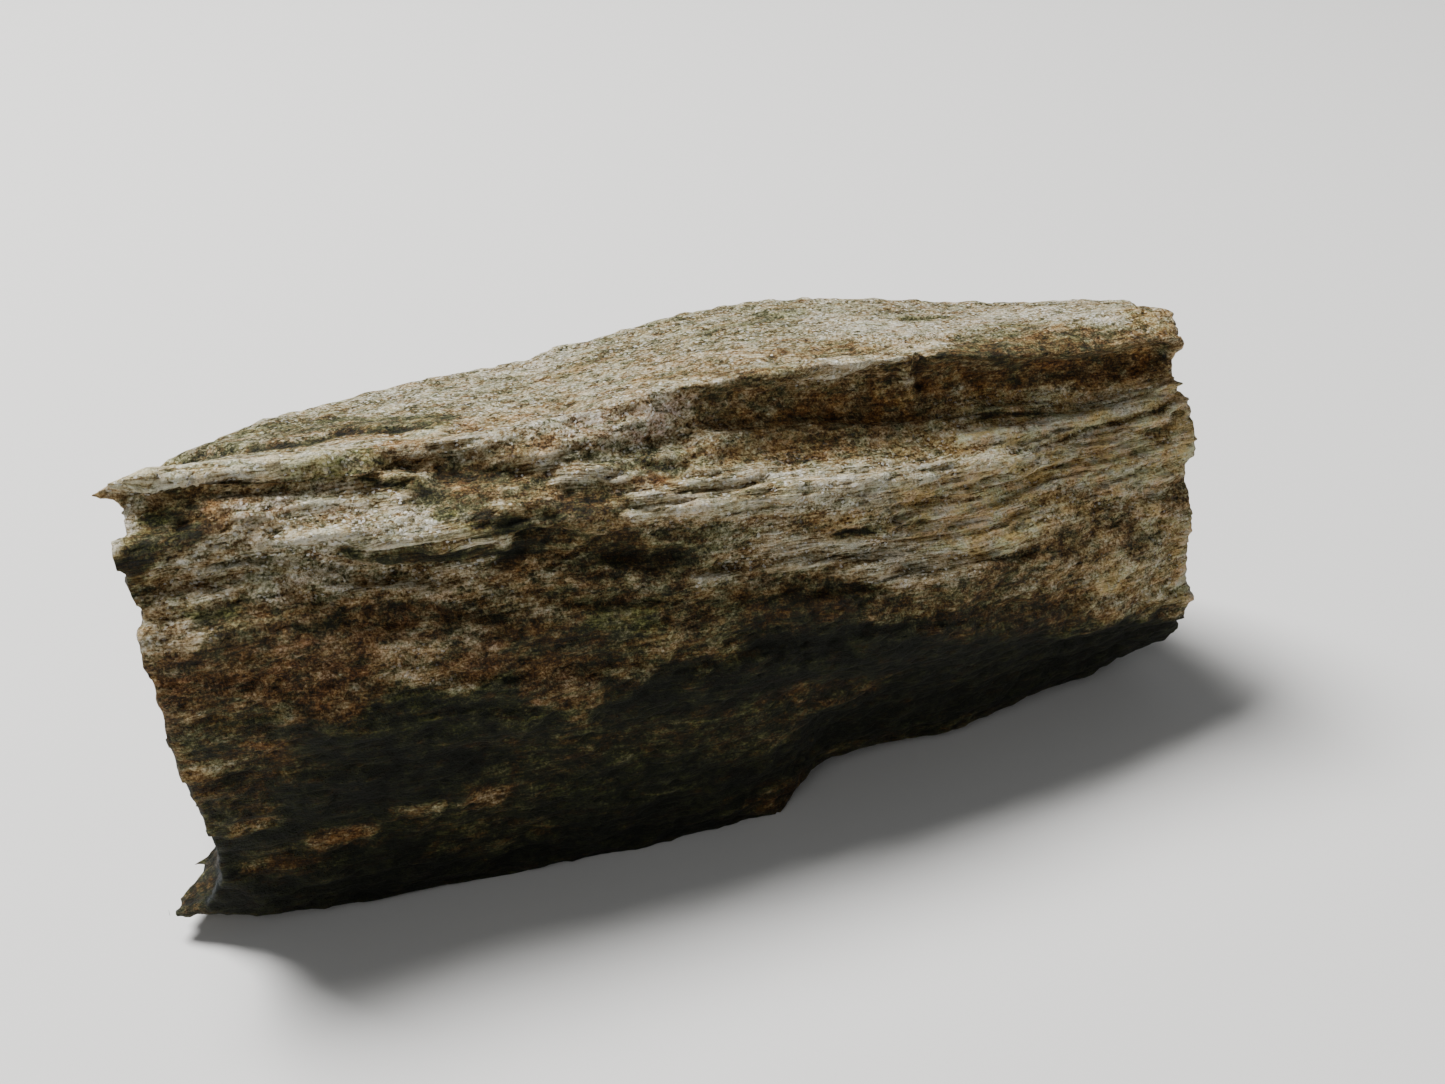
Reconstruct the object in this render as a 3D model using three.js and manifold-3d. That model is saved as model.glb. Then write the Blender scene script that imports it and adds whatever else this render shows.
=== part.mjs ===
// Isua stone: one thumb-sized splinter of foliated rock, split along its layers and broken
// across them at both ends. Millimetres, +Z up, +X along the length. The stone lies on a
// flat patch of its underside at Z = 0, with the centre of its bounding box over the origin.

import * as THREE from "three";
import { ImprovedNoise } from "three/addons/math/ImprovedNoise.js";
import { mergeVertices } from "three/addons/utils/BufferGeometryUtils.js";
import Module from "manifold-3d";

// Mesh density: steps along the length, and steps across each broken end.
const STEPS_ALONG = 54;
const STEPS_ACROSS = 10;

// Each broken end is covered by strips that run across the stone, one under the other, like
// the sheets it broke through. They start at the row FIRST_STRIP_ROW, on the slab's lip.
// The end is dished by CAP_DISH, and its sheets stand in or out by up to CAP_ROUGHNESS. Both
// fall away to nothing at the rim, the more suddenly the higher RIM_SUDDENNESS is.
const FIRST_STRIP_ROW = 11;
const RIM_SUDDENNESS = 4;
const CAP_DISH = 0.9;
const CAP_ROUGHNESS = 1.1;
const CAP_SHEET_STRIPS = 2;
const CAP_SHEET_WIDTH = 4.5;

// At the rim, a sheet's own end stands up to END_RAGGED beyond or short of its neighbours',
// over the last RAGGED_SHARE of the length.
const END_RAGGED = 0.3;
const RAGGED_SHARE = 0.07;

// Layering. The rock is a stack of sheets, each SHEET_ROWS rows of faces thick in turn. A
// sheet's upper edge stands out by EDGE_USUAL of SHEET_STEP, give or take EDGE_CHANGE of it,
// comes and goes along X every few SHEET_FADE_LENGTHs, and has its lower row tucked in by
// EDGE_CRISPNESS of a row.
const SHEET_ROWS = [3, 2, 4, 2, 3, 5, 2];
const SHEET_STEP = 0.4;
const EDGE_USUAL = 0.2;
const EDGE_CHANGE = 1.8;
const SHEET_FADE_LENGTH = 3.6;
const EDGE_CRISPNESS = 0.3;

// How unlike neighbouring sheets are: steps through the noise from one sheet to the next.
const SHEET_NOISE_STEP = 5.3;
const END_NOISE_STEP = 3.7;
const CAP_NOISE_STEP = 2.37;

// Where in the noise each kind of relief is read, so that no two of them look alike. The noise
// is zero at whole numbers, which OFF_ZERO keeps away from.
const OFF_ZERO = 0.5;
const SHEET_NOISE_PLACE = 0.7;
const LUMP_NOISE_PLACE = 11;
const LEFT_END_NOISE_PLACE = 4.2;
const RIGHT_END_NOISE_PLACE = 14.2;

// Grain drawn out along X, and broad lumps.
const GRAIN_LENGTH = 3.4;
const GRAIN_WIDTH = 1.3;
const GRAIN_HEIGHT = 0.3;
const LUMP_LENGTH = 7;
const LUMP_WIDTH = 3.6;
const LUMP_HEIGHT = 0.5;

// The ground that the underside is cut off at: length, width and thickness. Points of the skin
// closer together than WELD_DISTANCE are one point.
const GROUND_SIZE = [80, 40, 10];
const WELD_DISTANCE = 1e-4;

// Ridge lines, each from the left end to the right end, in order around the section: from
// the back of the top, forwards over the front, under the stone and up the back.
// "rows" is how many rows of faces lie between a line and the next one, and "rough" scales
// the layering and grain there.
const RIDGES = [
  {
    name: "crest",
    rows: 6,
    rough: 0.2,
    points: [
      [-23.9, 1.4, 17.4], [-21.5, 2.2, 17.8], [-18.6, 3.6, 18], [-12, 5.8, 17.8], [-4.6, 7, 17.8],
      [2, 7.2, 18.4], [7, 7, 18.2], [14, 6, 17.4], [20, 4.6, 17], [22.2, 3.6, 16.9],
    ],
  },
  {
    name: "slab back",
    rows: 3,
    rough: 0.2,
    points: [
      [-24.9, -1.7, 19.4], [-23.4, -1.5, 19.8], [-21, -1, 19.4], [-17.3, -0.6, 19], [-11.2, 0.2, 18.7],
      [-2.6, 0.6, 19], [3, 0.8, 19.2], [9, 0.4, 18.8], [15, 0.2, 18.4], [20.2, 0, 18.3], [22.3, 0.2, 17.9],
    ],
  },
  {
    name: "slab lip",
    rows: 2,
    rough: 0.25,
    points: [
      [-25.4, -2.2, 19.6], [-24.5, -2.6, 20.1], [-23.4, -2.8, 20.3], [-21.3, -2.7, 20], [-17.7, -2.4, 19.6],
      [-13, -2, 19.1], [-7.5, -2, 19.2], [-3.6, -2, 19.5], [3, -1.9, 19.4], [7.9, -2, 19.1],
      [12.5, -2.3, 18.5], [17, -2.3, 18], [20.4, -2.2, 17.9], [21.5, -1.9, 17.4],
    ],
  },
  {
    name: "slab foot",
    rows: 3,
    rough: 0.3,
    points: [
      [-24.2, -2.2, 19], [-23.3, -2.2, 19.3], [-21.4, -2.2, 19.3], [-17.9, -2.1, 18.7], [-13.5, -2.3, 18.2],
      [-11, -2.8, 18.4], [-7.4, -3, 18.5], [-3.6, -2.2, 18.7], [3.4, -1.4, 18.3], [7.8, -1.2, 17.9],
      [9, -0.9, 17.5], [13, -0.9, 17.2], [18, -1, 16.8], [20.6, -1.3, 16.8], [21.6, -1.6, 16.7],
    ],
  },
  {
    name: "recess",
    rows: 4,
    rough: 0.6,
    points: [
      [-24.1, -3.1, 18.7], [-21.7, -3.1, 18.6], [-18, -3, 18.3], [-13.6, -3.4, 17.8], [-8, -3.7, 17.7],
      [-4, -3.2, 17.4], [3, -2.1, 16.7], [7.9, -2, 16.1], [11.6, -1.7, 15.5], [15.1, -1.8, 15.1],
      [18.6, -1.9, 15.2], [21.2, -1.8, 15.7],
    ],
  },
  {
    name: "band lip",
    rows: 4,
    rough: 1,
    points: [
      [-24.9, -4.3, 18.3], [-21.8, -4.3, 18], [-18.3, -4.6, 17.6], [-13.6, -5, 16.9], [-8.5, -5, 16.7],
      [-4.9, -4.9, 16.3], [1.6, -4.8, 15.8], [9, -3.9, 15.1], [15.8, -3, 14.7], [20, -2.6, 15],
      [22, -2.2, 15.2],
    ],
  },
  {
    name: "band foot",
    rows: 5,
    rough: 0.9,
    points: [
      [-24.6, -4.4, 17.1], [-22, -4.3, 17.1], [-18.5, -4.2, 16.5], [-13.7, -4.2, 15.6], [-8.6, -4.6, 15.2],
      [-5, -5, 14.5], [1.3, -5.4, 13.3], [8.5, -4.9, 12.6], [15.4, -4.1, 12.3], [21.9, -3.1, 12.4],
    ],
  },
  {
    name: "belly",
    rows: 4,
    rough: 0.5,
    points: [
      [-24.6, -5.7, 15.2], [-19, -5.9, 14.1], [-13.5, -6.2, 12.9], [-5.6, -6.5, 11.6], [0.8, -6.6, 10.6],
      [7.8, -6.4, 10.3], [14.7, -5.6, 9.5], [21.2, -4.4, 8.7],
    ],
  },
  {
    name: "low corner",
    rows: 6,
    rough: 0.45,
    points: [
      [-24.5, -6.1, 12.4], [-19.4, -6.3, 11.2], [-13.8, -6.6, 10.2], [-5.8, -6.9, 9.2], [0.7, -7, 8.9],
      [7.7, -6.8, 8], [14.7, -6, 6.6], [21.7, -4.7, 5],
    ],
  },
  {
    name: "undercut",
    rows: 4,
    rough: 0.4,
    points: [
      [-23.5, -5.4, 6.7], [-19.8, -5.5, 6.2], [-14, -5.8, 5.2], [-5.7, -6.2, 4.2], [0.6, -6.1, 4],
      [3.4, -5.2, 4.4], [8.5, -4.6, 3.9], [15.6, -3.8, 3.1], [21.8, -3.2, 2.7],
    ],
  },
  {
    name: "chip top",
    rows: 1,
    rough: 0.35,
    points: [
      [-23.2, -4.7, 2.1], [-20, -5.1, 1.6], [-11.9, -5.3, 0.9], [-5.3, -5.6, 0.6], [0.8, -5.6, 0.8],
      [3.2, -4.4, 1.8], [9.4, -3.9, 1.3], [12.7, -3.5, 1.4], [19, -2.9, 1.8], [21.8, -2.4, 2],
    ],
  },
  {
    name: "front keel",
    rows: 5,
    rough: 0.3,
    points: [
      [-25.6, -3.2, 0.9], [-23.6, -4.2, 1.1], [-20.1, -4.6, 0.6], [-11.9, -4.9, 0.1], [-5.3, -5, -0.4],
      [0.6, -5, -0.2], [3, -4, 1], [9.4, -3.4, 0.5], [12.7, -3, 0.6], [19, -2.4, 1.3], [21.7, -1.8, 1.5],
    ],
  },
  {
    name: "back keel",
    rows: 4,
    rough: 0.4,
    points: [
      [-22.4, 3.4, 1.4], [-18, 4.6, 0.2], [-8, 5.4, -0.5], [0, 5.6, -0.6], [8, 5.8, -0.5], [15, 4.6, 0.5],
      [21.6, 3.6, 2.2],
    ],
  },
  {
    name: "low back",
    rows: 5,
    rough: 0.9,
    points: [
      [-22.5, 5.2, 3.4], [-16, 6.8, 3.9], [-9, 7.4, 3], [-2, 8.3, 3.3], [5, 8.5, 4.2], [12, 7.5, 3.6],
      [17, 7.3, 4.4], [22, 5.9, 4.8],
    ],
  },
  {
    name: "middle back",
    rows: 4,
    rough: 1,
    points: [
      [-22.8, 5.6, 8.3], [-16, 7.5, 8.8], [-8, 8.3, 8.2], [0, 9.2, 9.3], [9, 9.1, 9.2], [16, 7.8, 9.6],
      [22.2, 6.4, 9.2],
    ],
  },
  {
    name: "shelf lip back",
    rows: 2,
    rough: 0.6,
    points: [
      [-22.9, 5, 12], [-16, 7.4, 12.4], [-10, 8.4, 12.8], [-4, 9.2, 13.3], [2, 9.5, 14.2], [7, 9.1, 14.9],
      [12, 8.3, 14.7], [18, 7.2, 13.8], [22.3, 5.5, 13.2],
    ],
  },
  {
    name: "shelf root back",
    rows: 4,
    rough: 0.8,
    points: [
      [-23, 4, 13], [-16, 5.9, 13.4], [-10, 6.8, 13.7], [-4, 7.7, 14.1], [2, 8.3, 14.9], [7, 8.2, 15.5],
      [12, 7.7, 15.2], [18, 6.8, 14.5], [22.3, 5, 14],
    ],
  },
];

const noise = new ImprovedNoise();

/** Relief of one sheet: its upper edge stands proud, its lower edge is tucked in. */
function sheetRelief(row, point) {
  const place = [row.sheet * SHEET_NOISE_STEP, point.x / SHEET_FADE_LENGTH, SHEET_NOISE_PLACE];
  const reach = EDGE_USUAL + EDGE_CHANGE * noise.noise(...place);
  return SHEET_STEP * Math.max(0, reach) * (1 - 2 * row.depth);
}

/** Long narrow grain along X, and broad lumps. */
function grainRelief(point) {
  const grain = noise.noise(point.x / GRAIN_LENGTH, point.y / GRAIN_WIDTH, point.z / GRAIN_WIDTH);
  const lumpPlace = [point.x / LUMP_LENGTH, point.y / LUMP_WIDTH, point.z / LUMP_WIDTH + LUMP_NOISE_PLACE];
  return GRAIN_HEIGHT * grain + LUMP_HEIGHT * noise.noise(...lumpPlace);
}

/** Which sheet a row belongs to, and how far down the sheet it lies: 0 at the top, 1 at the foot. */
function sheetOfRow(index) {
  let first = 0;
  let sheet = 0;
  while (index >= first + SHEET_ROWS[sheet % SHEET_ROWS.length]) {
    first += SHEET_ROWS[sheet % SHEET_ROWS.length];
    sheet++;
  }
  return { sheet, depth: (index - first) / (SHEET_ROWS[sheet % SHEET_ROWS.length] - 1) };
}

/** Shifts a row's last points along X, so that the broken sheets end unevenly. */
function raggedEnd(point, along, sheet) {
  const nearLeft = 1 - THREE.MathUtils.smoothstep(along, 0, RAGGED_SHARE);
  const nearRight = THREE.MathUtils.smoothstep(along, 1 - RAGGED_SHARE, 1);
  const place = sheet * END_NOISE_STEP;
  point.x += END_RAGGED * nearLeft * noise.noise(place, OFF_ZERO, LEFT_END_NOISE_PLACE);
  point.x += END_RAGGED * nearRight * noise.noise(place, OFF_ZERO, RIGHT_END_NOISE_PLACE);
}

/** Rows of points from end to end, one array per row around the section. */
function bodyRows() {
  const curves = RIDGES.map(
    (ridge) =>
      new THREE.CatmullRomCurve3(
        ridge.points.map((point) => new THREE.Vector3(...point)),
        false,
        "centripetal",
      ),
  );
  const rows = [];
  RIDGES.forEach((ridge, index) => {
    const next = (index + 1) % RIDGES.length;
    const onBack = ridge.name.endsWith("back") && ridge.name !== "slab back";
    for (let step = 0; step < ridge.rows; step++) {
      const row = { points: [], ...sheetOfRow(rows.length) };
      const tucked = row.depth === 1 ? EDGE_CRISPNESS : 0;
      const blend = (step + tucked) / ridge.rows;
      row.rough = THREE.MathUtils.lerp(ridge.rough, RIDGES[next].rough, blend);
      row.depth = onBack ? 1 - row.depth : row.depth;
      for (let column = 0; column <= STEPS_ALONG; column++) {
        const along = column / STEPS_ALONG;
        const point = curves[index].getPointAt(along).lerp(curves[next].getPointAt(along), blend);
        raggedEnd(point, along, row.sheet);
        row.points.push(point);
      }
      rows.push(row);
    }
  });
  return rows;
}

/** Index of the point at a row and column of the side, counting rows round and round. */
function rimVertex(row, column, rowCount) {
  return ((row + rowCount) % rowCount) * (STEPS_ALONG + 1) + column;
}

/** The faces between the rows, which wrap right round the stone. */
function sideFaces(rowCount) {
  const faces = [];
  for (let row = 0; row < rowCount; row++) {
    for (let column = 0; column < STEPS_ALONG; column++) {
      const a = rimVertex(row, column, rowCount);
      const b = rimVertex(row + 1, column, rowCount);
      const c = rimVertex(row + 1, column + 1, rowCount);
      const d = rimVertex(row, column + 1, rowCount);
      faces.push(a, b, c, a, c, d);
    }
  }
  return faces;
}

/** The rows at the front and the back end of a strip across a broken end. */
function stripRows(strip) {
  return { front: FIRST_STRIP_ROW + 1 + strip, back: FIRST_STRIP_ROW - strip };
}

/** The faces of one broken end. firstInner is the index of its first inner point. */
function capFaces(rowCount, column, firstInner) {
  const lastStrip = rowCount / 2 - 1;
  const vertex = (strip, step) => {
    const { front, back } = stripRows(strip);
    const closed = strip === 0 || strip === lastStrip;
    if (step === 0 || (closed && step <= STEPS_ACROSS / 2)) {
      return rimVertex(front, column, rowCount);
    }
    if (step === STEPS_ACROSS || closed) {
      return rimVertex(back, column, rowCount);
    }
    return firstInner + (strip - 1) * (STEPS_ACROSS - 1) + step - 1;
  };
  const faces = [];
  const face = (a, b, c) => {
    if (a !== b && b !== c && c !== a) {
      faces.push(...(column === 0 ? [a, b, c] : [c, b, a]));
    }
  };
  for (let strip = 0; strip < lastStrip; strip++) {
    for (let step = 0; step < STEPS_ACROSS; step++) {
      face(vertex(strip + 1, step), vertex(strip, step), vertex(strip, step + 1));
      face(vertex(strip + 1, step), vertex(strip, step + 1), vertex(strip + 1, step + 1));
    }
  }
  return faces;
}

/** The inner points of one broken end, dished inwards and stepped from sheet to sheet. */
function capPoints(rows, column) {
  const inward = column === 0 ? 1 : -1;
  const points = [];
  for (let strip = 1; strip < rows.length / 2 - 1; strip++) {
    const { front, back } = stripRows(strip);
    const start = rows[front].points[column];
    const end = rows[(back + rows.length) % rows.length].points[column];
    const sheet = Math.floor(strip / CAP_SHEET_STRIPS);
    for (let step = 1; step < STEPS_ACROSS; step++) {
      const across = (1 - Math.cos((Math.PI * step) / STEPS_ACROSS)) / 2;
      const point = start.clone().lerp(end, across);
      const place = [sheet * CAP_NOISE_STEP + OFF_ZERO, point.y / CAP_SHEET_WIDTH, column + OFF_ZERO];
      const stepOut = noise.noise(...place);
      const fall = 1 - (2 * across - 1) ** RIM_SUDDENNESS;
      point.x += inward * fall * (CAP_DISH + CAP_ROUGHNESS * stepOut);
      points.push(point);
    }
  }
  return points;
}

/** The whole skin with its layering and grain pushed in or out along the surface. */
function skinGeometry() {
  const rows = bodyRows();
  const body = rows.flatMap((row) => row.points);
  const leftEnd = capPoints(rows, 0);
  const rightEnd = capPoints(rows, STEPS_ALONG);
  const points = [...body, ...leftEnd, ...rightEnd];
  const geometry = new THREE.BufferGeometry().setFromPoints(points);
  geometry.setIndex([
    ...sideFaces(rows.length),
    ...capFaces(rows.length, 0, body.length),
    ...capFaces(rows.length, STEPS_ALONG, body.length + leftEnd.length),
  ]);
  geometry.computeVertexNormals();
  const normals = geometry.getAttribute("normal");
  const normal = new THREE.Vector3();
  const moved = points.map((point, index) => {
    const row = Math.floor(index / (STEPS_ALONG + 1));
    if (row >= rows.length) {
      return point;
    }
    normal.fromBufferAttribute(normals, index);
    const relief = rows[row].rough * (sheetRelief(rows[row], point) + grainRelief(point));
    return point.clone().addScaledVector(normal, relief);
  });
  geometry.setFromPoints(moved);
  return geometry;
}

/** A closed geometry as a manifold-3d solid. */
function toSolid(wasm, geometry) {
  const bare = new THREE.BufferGeometry();
  bare.setAttribute("position", geometry.getAttribute("position").clone());
  bare.setIndex(geometry.getIndex().clone());
  const merged = mergeVertices(bare, WELD_DISTANCE);
  return new wasm.Manifold(
    new wasm.Mesh({
      numProp: 3,
      vertProperties: new Float32Array(merged.getAttribute("position").array),
      triVerts: new Uint32Array(merged.getIndex().array),
    }),
  );
}

/** The stone cut off flat at Z = 0, so that it rests on a true plane, and centred over the origin. */
async function stoneGeometry() {
  const wasm = await Module();
  wasm.setup();
  const ground = new THREE.BoxGeometry(...GROUND_SIZE);
  ground.translate(0, 0, -GROUND_SIZE[2] / 2);
  const cut = toSolid(wasm, skinGeometry()).subtract(toSolid(wasm, ground));
  const mesh = cut.getMesh();
  const geometry = new THREE.BufferGeometry();
  geometry.setAttribute("position", new THREE.BufferAttribute(mesh.vertProperties, mesh.numProp));
  geometry.setIndex(new THREE.BufferAttribute(mesh.triVerts, 1));
  geometry.computeBoundingBox();
  const middle = geometry.boundingBox.getCenter(new THREE.Vector3());
  geometry.translate(-middle.x, -middle.y, 0);
  geometry.computeVertexNormals();
  return geometry;
}

const rock = new THREE.MeshStandardMaterial({ color: 0x6e5f48, roughness: 0.8, metalness: 0 });
const stone = new THREE.Mesh(await stoneGeometry(), rock);
stone.name = "stone";

const model = new THREE.Group();
model.add(stone);

export default model;
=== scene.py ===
"""Isua stone: a splinter of layered rock, with its broken surface and its finish made on the CAD stone.

Shapes are worked out in millimetres in the frame's axes, and go to metres in the mesh.
"""
import math

import bmesh
import bpy
import numpy as np
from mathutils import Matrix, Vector


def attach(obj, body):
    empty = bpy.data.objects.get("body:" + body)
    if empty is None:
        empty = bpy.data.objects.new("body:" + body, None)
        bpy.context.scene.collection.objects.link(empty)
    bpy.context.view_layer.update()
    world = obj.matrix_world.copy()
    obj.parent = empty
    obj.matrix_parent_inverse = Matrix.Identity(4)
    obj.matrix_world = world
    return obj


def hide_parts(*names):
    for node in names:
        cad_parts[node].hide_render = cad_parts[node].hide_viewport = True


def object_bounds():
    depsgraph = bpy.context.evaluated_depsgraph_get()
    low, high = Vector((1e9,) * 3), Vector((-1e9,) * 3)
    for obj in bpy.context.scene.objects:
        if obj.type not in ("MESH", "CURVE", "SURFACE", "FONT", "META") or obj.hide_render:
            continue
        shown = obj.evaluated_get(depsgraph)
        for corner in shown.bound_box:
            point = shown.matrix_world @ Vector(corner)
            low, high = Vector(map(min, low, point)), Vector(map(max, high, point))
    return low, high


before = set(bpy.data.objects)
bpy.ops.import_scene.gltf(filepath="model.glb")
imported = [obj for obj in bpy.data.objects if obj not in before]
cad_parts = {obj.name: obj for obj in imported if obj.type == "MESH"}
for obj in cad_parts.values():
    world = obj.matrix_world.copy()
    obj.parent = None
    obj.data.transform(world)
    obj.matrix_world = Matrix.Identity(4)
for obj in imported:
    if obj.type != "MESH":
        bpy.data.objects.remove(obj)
cad_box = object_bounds()

MM = 0.001
NODE = "stone"
# The box of the CAD stone, which the relief stays inside.
BOX_LOW = np.array(cad_box[0]) / MM
BOX_HIGH = np.array(cad_box[1]) / MM

# ------ camera, at the photograph's angle
CAMERA_TARGET = (1.92, -0.75, 10.55)
CAMERA_AZIMUTH = math.radians(-22.5)
CAMERA_ELEVATION = math.radians(30)
CAMERA_DISTANCE = 85.99
CAMERA_WIDE_ANGLE = math.radians(40)
CAMERA_CLIP = 0.005

# ------ the fine skin
# Remeshed with its length shortened GRAIN_STRETCH times, so its cells are long along the grain.
GRAIN_STRETCH = 2.0
WELD_DISTANCE = 1e-4
VOXEL = 0.155
SMOOTH_ROUNDS = 4
SOFT_ROUNDS = 40
NORMAL_ROUNDS = 5
# How far a point moves towards its neighbours' mean, to smooth the skin or to swell it.
SMOOTH_SHARE = 0.5
SWELL_SHARE = -0.53
# Between these amounts of streaks, the skin goes from its softest to crisp.
STREAKS_SHAPED = (0.25, 0.8)
CRISP_LEAST = 0.2
# How far a place stands out of the smoothed skin, in units of PROUD_EDGE; proud places are painted lighter
# and hollows darker, as painted light and shade.
PROUD_ROUNDS = 6
PROUD_EDGE = 0.06
RAISED_LIMIT = 1.5

# ------ layering of the rock
# The sheets dip to the back, sink to the right, and turn up again near the right end.
SHEET_DIP = math.radians(18)
SHEET_SINK = 0.075
SHEET_TURN_UP = 0.006
TURN_UP_FROM = 9.5

# ------ relief
NOISE_SEED = 7
# Brings the noise to about -1 to 1.
NOISE_GAIN = 1.7
# A ridge's top stands above the surface by this share of its height.
RIDGE_MIDDLE = 0.45

# Where the skin is end, top or underside: how far its normal turns that way, to start and in full.
END_FACING = (0.55, 0.8)
TOP_FACING = (0.72, 0.9)
UNDER_FACING = (0.6, 0.9)
TOP_SHEET_FACING = (0.2, 0.6)
# Where sheets are broken across: how much end the skin around is, to start and in full.
BREAK_FACING = (0.5, 0.95)
# How much of a side's relief the top lacks.
TOP_CALM = 0.8

# How strong fibres and grit are everywhere, and what each kind of place adds or loses.
FIBRES_ALL = 0.1
FIBRES_SIDE = 0.25
FIBRES_STREAKED = 0.95
FIBRES_END_LOSS = 0.6
GRIT_ALL = 0.25
GRIT_SIDE = 0.7
GRIT_END = 0.3
GRIT_STREAKED_LOSS = 0.5

# A sheet's face rises to an edge this far up it, and then drops.
EDGE_AT = 0.85
EDGE_RISE = 1.5
EDGE_MIDDLE = 0.3
# Edges start and are full at these values of a noise, which steps from sheet to sheet.
EDGE_COVER = (-0.2, 0.45)
EDGE_SIZES = (3.2, 3)
SHEET_STEPS = (3.1, 1.7)
# Sheets of a broken end: how thick, and the step of their noise.
END_SHEET = 0.7
END_SHEET_STEP = 1.31

# ------ marks of this one stone
# Lines along the surface: (points, radius, height out of the surface).
RAISED = [
    # the hollow under the left lip, and the ridges in front of it
    ([(-21.5, -3.7, 19.4), (-18, -3.6, 19), (-14.2, -3.5, 18.6)], 0.55, 0.5),
    ([(-18.7, -5.3, 17.4), (-17.1, -5.6, 17.4), (-16.1, -5.7, 17.4)], 0.22, 0.15),
    ([(-15.3, -5.9, 17.2), (-13.9, -5.9, 16.7), (-12.1, -6.1, 16.8), (-9.2, -6, 16)], 0.25, 0.15),
    ([(-14.4, -5.8, 16.3), (-11.7, -5.8, 15.9), (-9.4, -5.9, 15.6)], 0.4, 0.3),
    # knobs
    ([(-12.7, -3.9, 18.1), (-11.7, -4.2, 17.9)], 0.4, 0.3),
    ([(-13.8, -3.5, 18.5), (-13.1, -3.9, 18.1), (-12.3, -4.3, 17.8)], 0.55, 0.5),
    ([(-12.9, -3.4, 19.2), (-11.6, -3.4, 19)], 0.6, 0.2),
    # middle
    ([(-9.3, -3.6, 18.8), (-8.1, -3.6, 18.9), (-6.6, -3.6, 18.9)], 0.6, 0.2),
    ([(-7.4, -4.5, 18.1), (-6.8, -4.5, 18.3)], 0.22, 0.15),
    ([(-6.6, -5.1, 17.5), (-5, -5.1, 17.4)], 0.22, 0.15),
    ([(-4.2, -6.3, 16), (-2.7, -6.1, 15.9), (-1.3, -6.2, 15.8)], 0.3, 0.25),
    ([(-1.6, -6, 15.9), (1.3, -6.2, 15.5), (3.8, -6.5, 15.2)], 0.25, 0.15),
    # right: the foot of the recess, the notch's edge, the band and what is under it
    ([(0, -3.9, 17.2), (3, -3.6, 16.9), (8, -3.5, 16), (12, -3.3, 15.6), (16, -2.9, 15.3)], 0.7, 0.45),
    ([(9.3, -2.8, 18.5), (9.5, -2.6, 17.7)], 0.3, 0.35),
    ([(11.4, -4.3, 15.3), (13.8, -4.2, 15.1), (16.6, -3.7, 14.9), (21.2, -3.6, 15)], 0.26, 0.2),
    ([(18.2, -3.2, 15), (21.5, -3.1, 15.4), (23, -3.2, 15.5)], 0.22, 0.15),
    ([(6.3, -7.2, 11.6), (8.6, -7.2, 10.9), (11.6, -7, 10.8)], 0.35, 0.2),
    ([(12.7, -6.7, 11.4), (14.4, -6.5, 11.2)], 0.5, 0.2),
    ([(2.6, -6.9, 12.8), (3, -6.9, 12.7)], 0.35, 0.15),
]
SUNK = [
    # left: round the knobs, and a pit
    ([(-13.8, -3.5, 18.5), (-13.6, -3.8, 18.2), (-13.1, -4.1, 17.9), (-12.1, -4.8, 17.7)], 0.17, 0.1),
    ([(-20.8, -4.8, 18.4)], 0.26, 0.25),
    # middle
    ([(-10.4, -4, 18.2), (-8.4, -4.6, 17.9)], 0.6, 0.25),
    ([(-6.4, -5.8, 16.9), (-4.6, -5.9, 16.6)], 0.6, 0.2),
    ([(-5.9, -6.3, 15.5), (-3.9, -6.4, 15.2)], 0.22, 0.15),
    ([(-5.4, -6.4, 14.6), (-2.2, -6.6, 14.1)], 0.26, 0.2),
    # right: the oval in the top, the notch in the lip, and slots
    ([(11.8, 2, 18.3), (13.9, 1.8, 18.1)], 0.2, 0.4),
    ([(9.8, -3.1, 18.9), (10.3, -2.4, 17.3)], 0.26, 0.4),
    ([(13.4, -5, 14.6), (16.3, -4.3, 14.4), (18.9, -4.1, 14.5), (21.8, -4, 14.7)], 0.17, 0.1),
    ([(4.6, -6.9, 13.7), (5.8, -6.8, 13.6)], 0.17, 0.15),
    ([(7.6, -6.3, 13.4), (8.9, -6.2, 12.9)], 0.17, 0.15),
    ([(20.9, -4.3, 13.8), (21.9, -4.3, 13.8)], 0.26, 0.2),
]

# Thin edges that are worn down: (points, radius).
WORN = [
    ([(-22.6, -2, 1.1), (-21.3, 0.1, 1.3)], 1.0),
]

# The sheet that lies on the back of the top, at the left end: (x, y of its front edge, height there).
TOP_SHEET = [
    (-19.2, 0.3, 0.5), (-17.5, -0.7, 0.32), (-15.6, -1.1, 0.25), (-13.6, -0.4, 0.22),
    (-12.5, -1.0, 0.22), (-9.9, -1.7, 0.2), (-6.3, -1.7, 0.0),
]
# How wide the slope at that front edge is.
TOP_SHEET_SLOPE = 0.3

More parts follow.
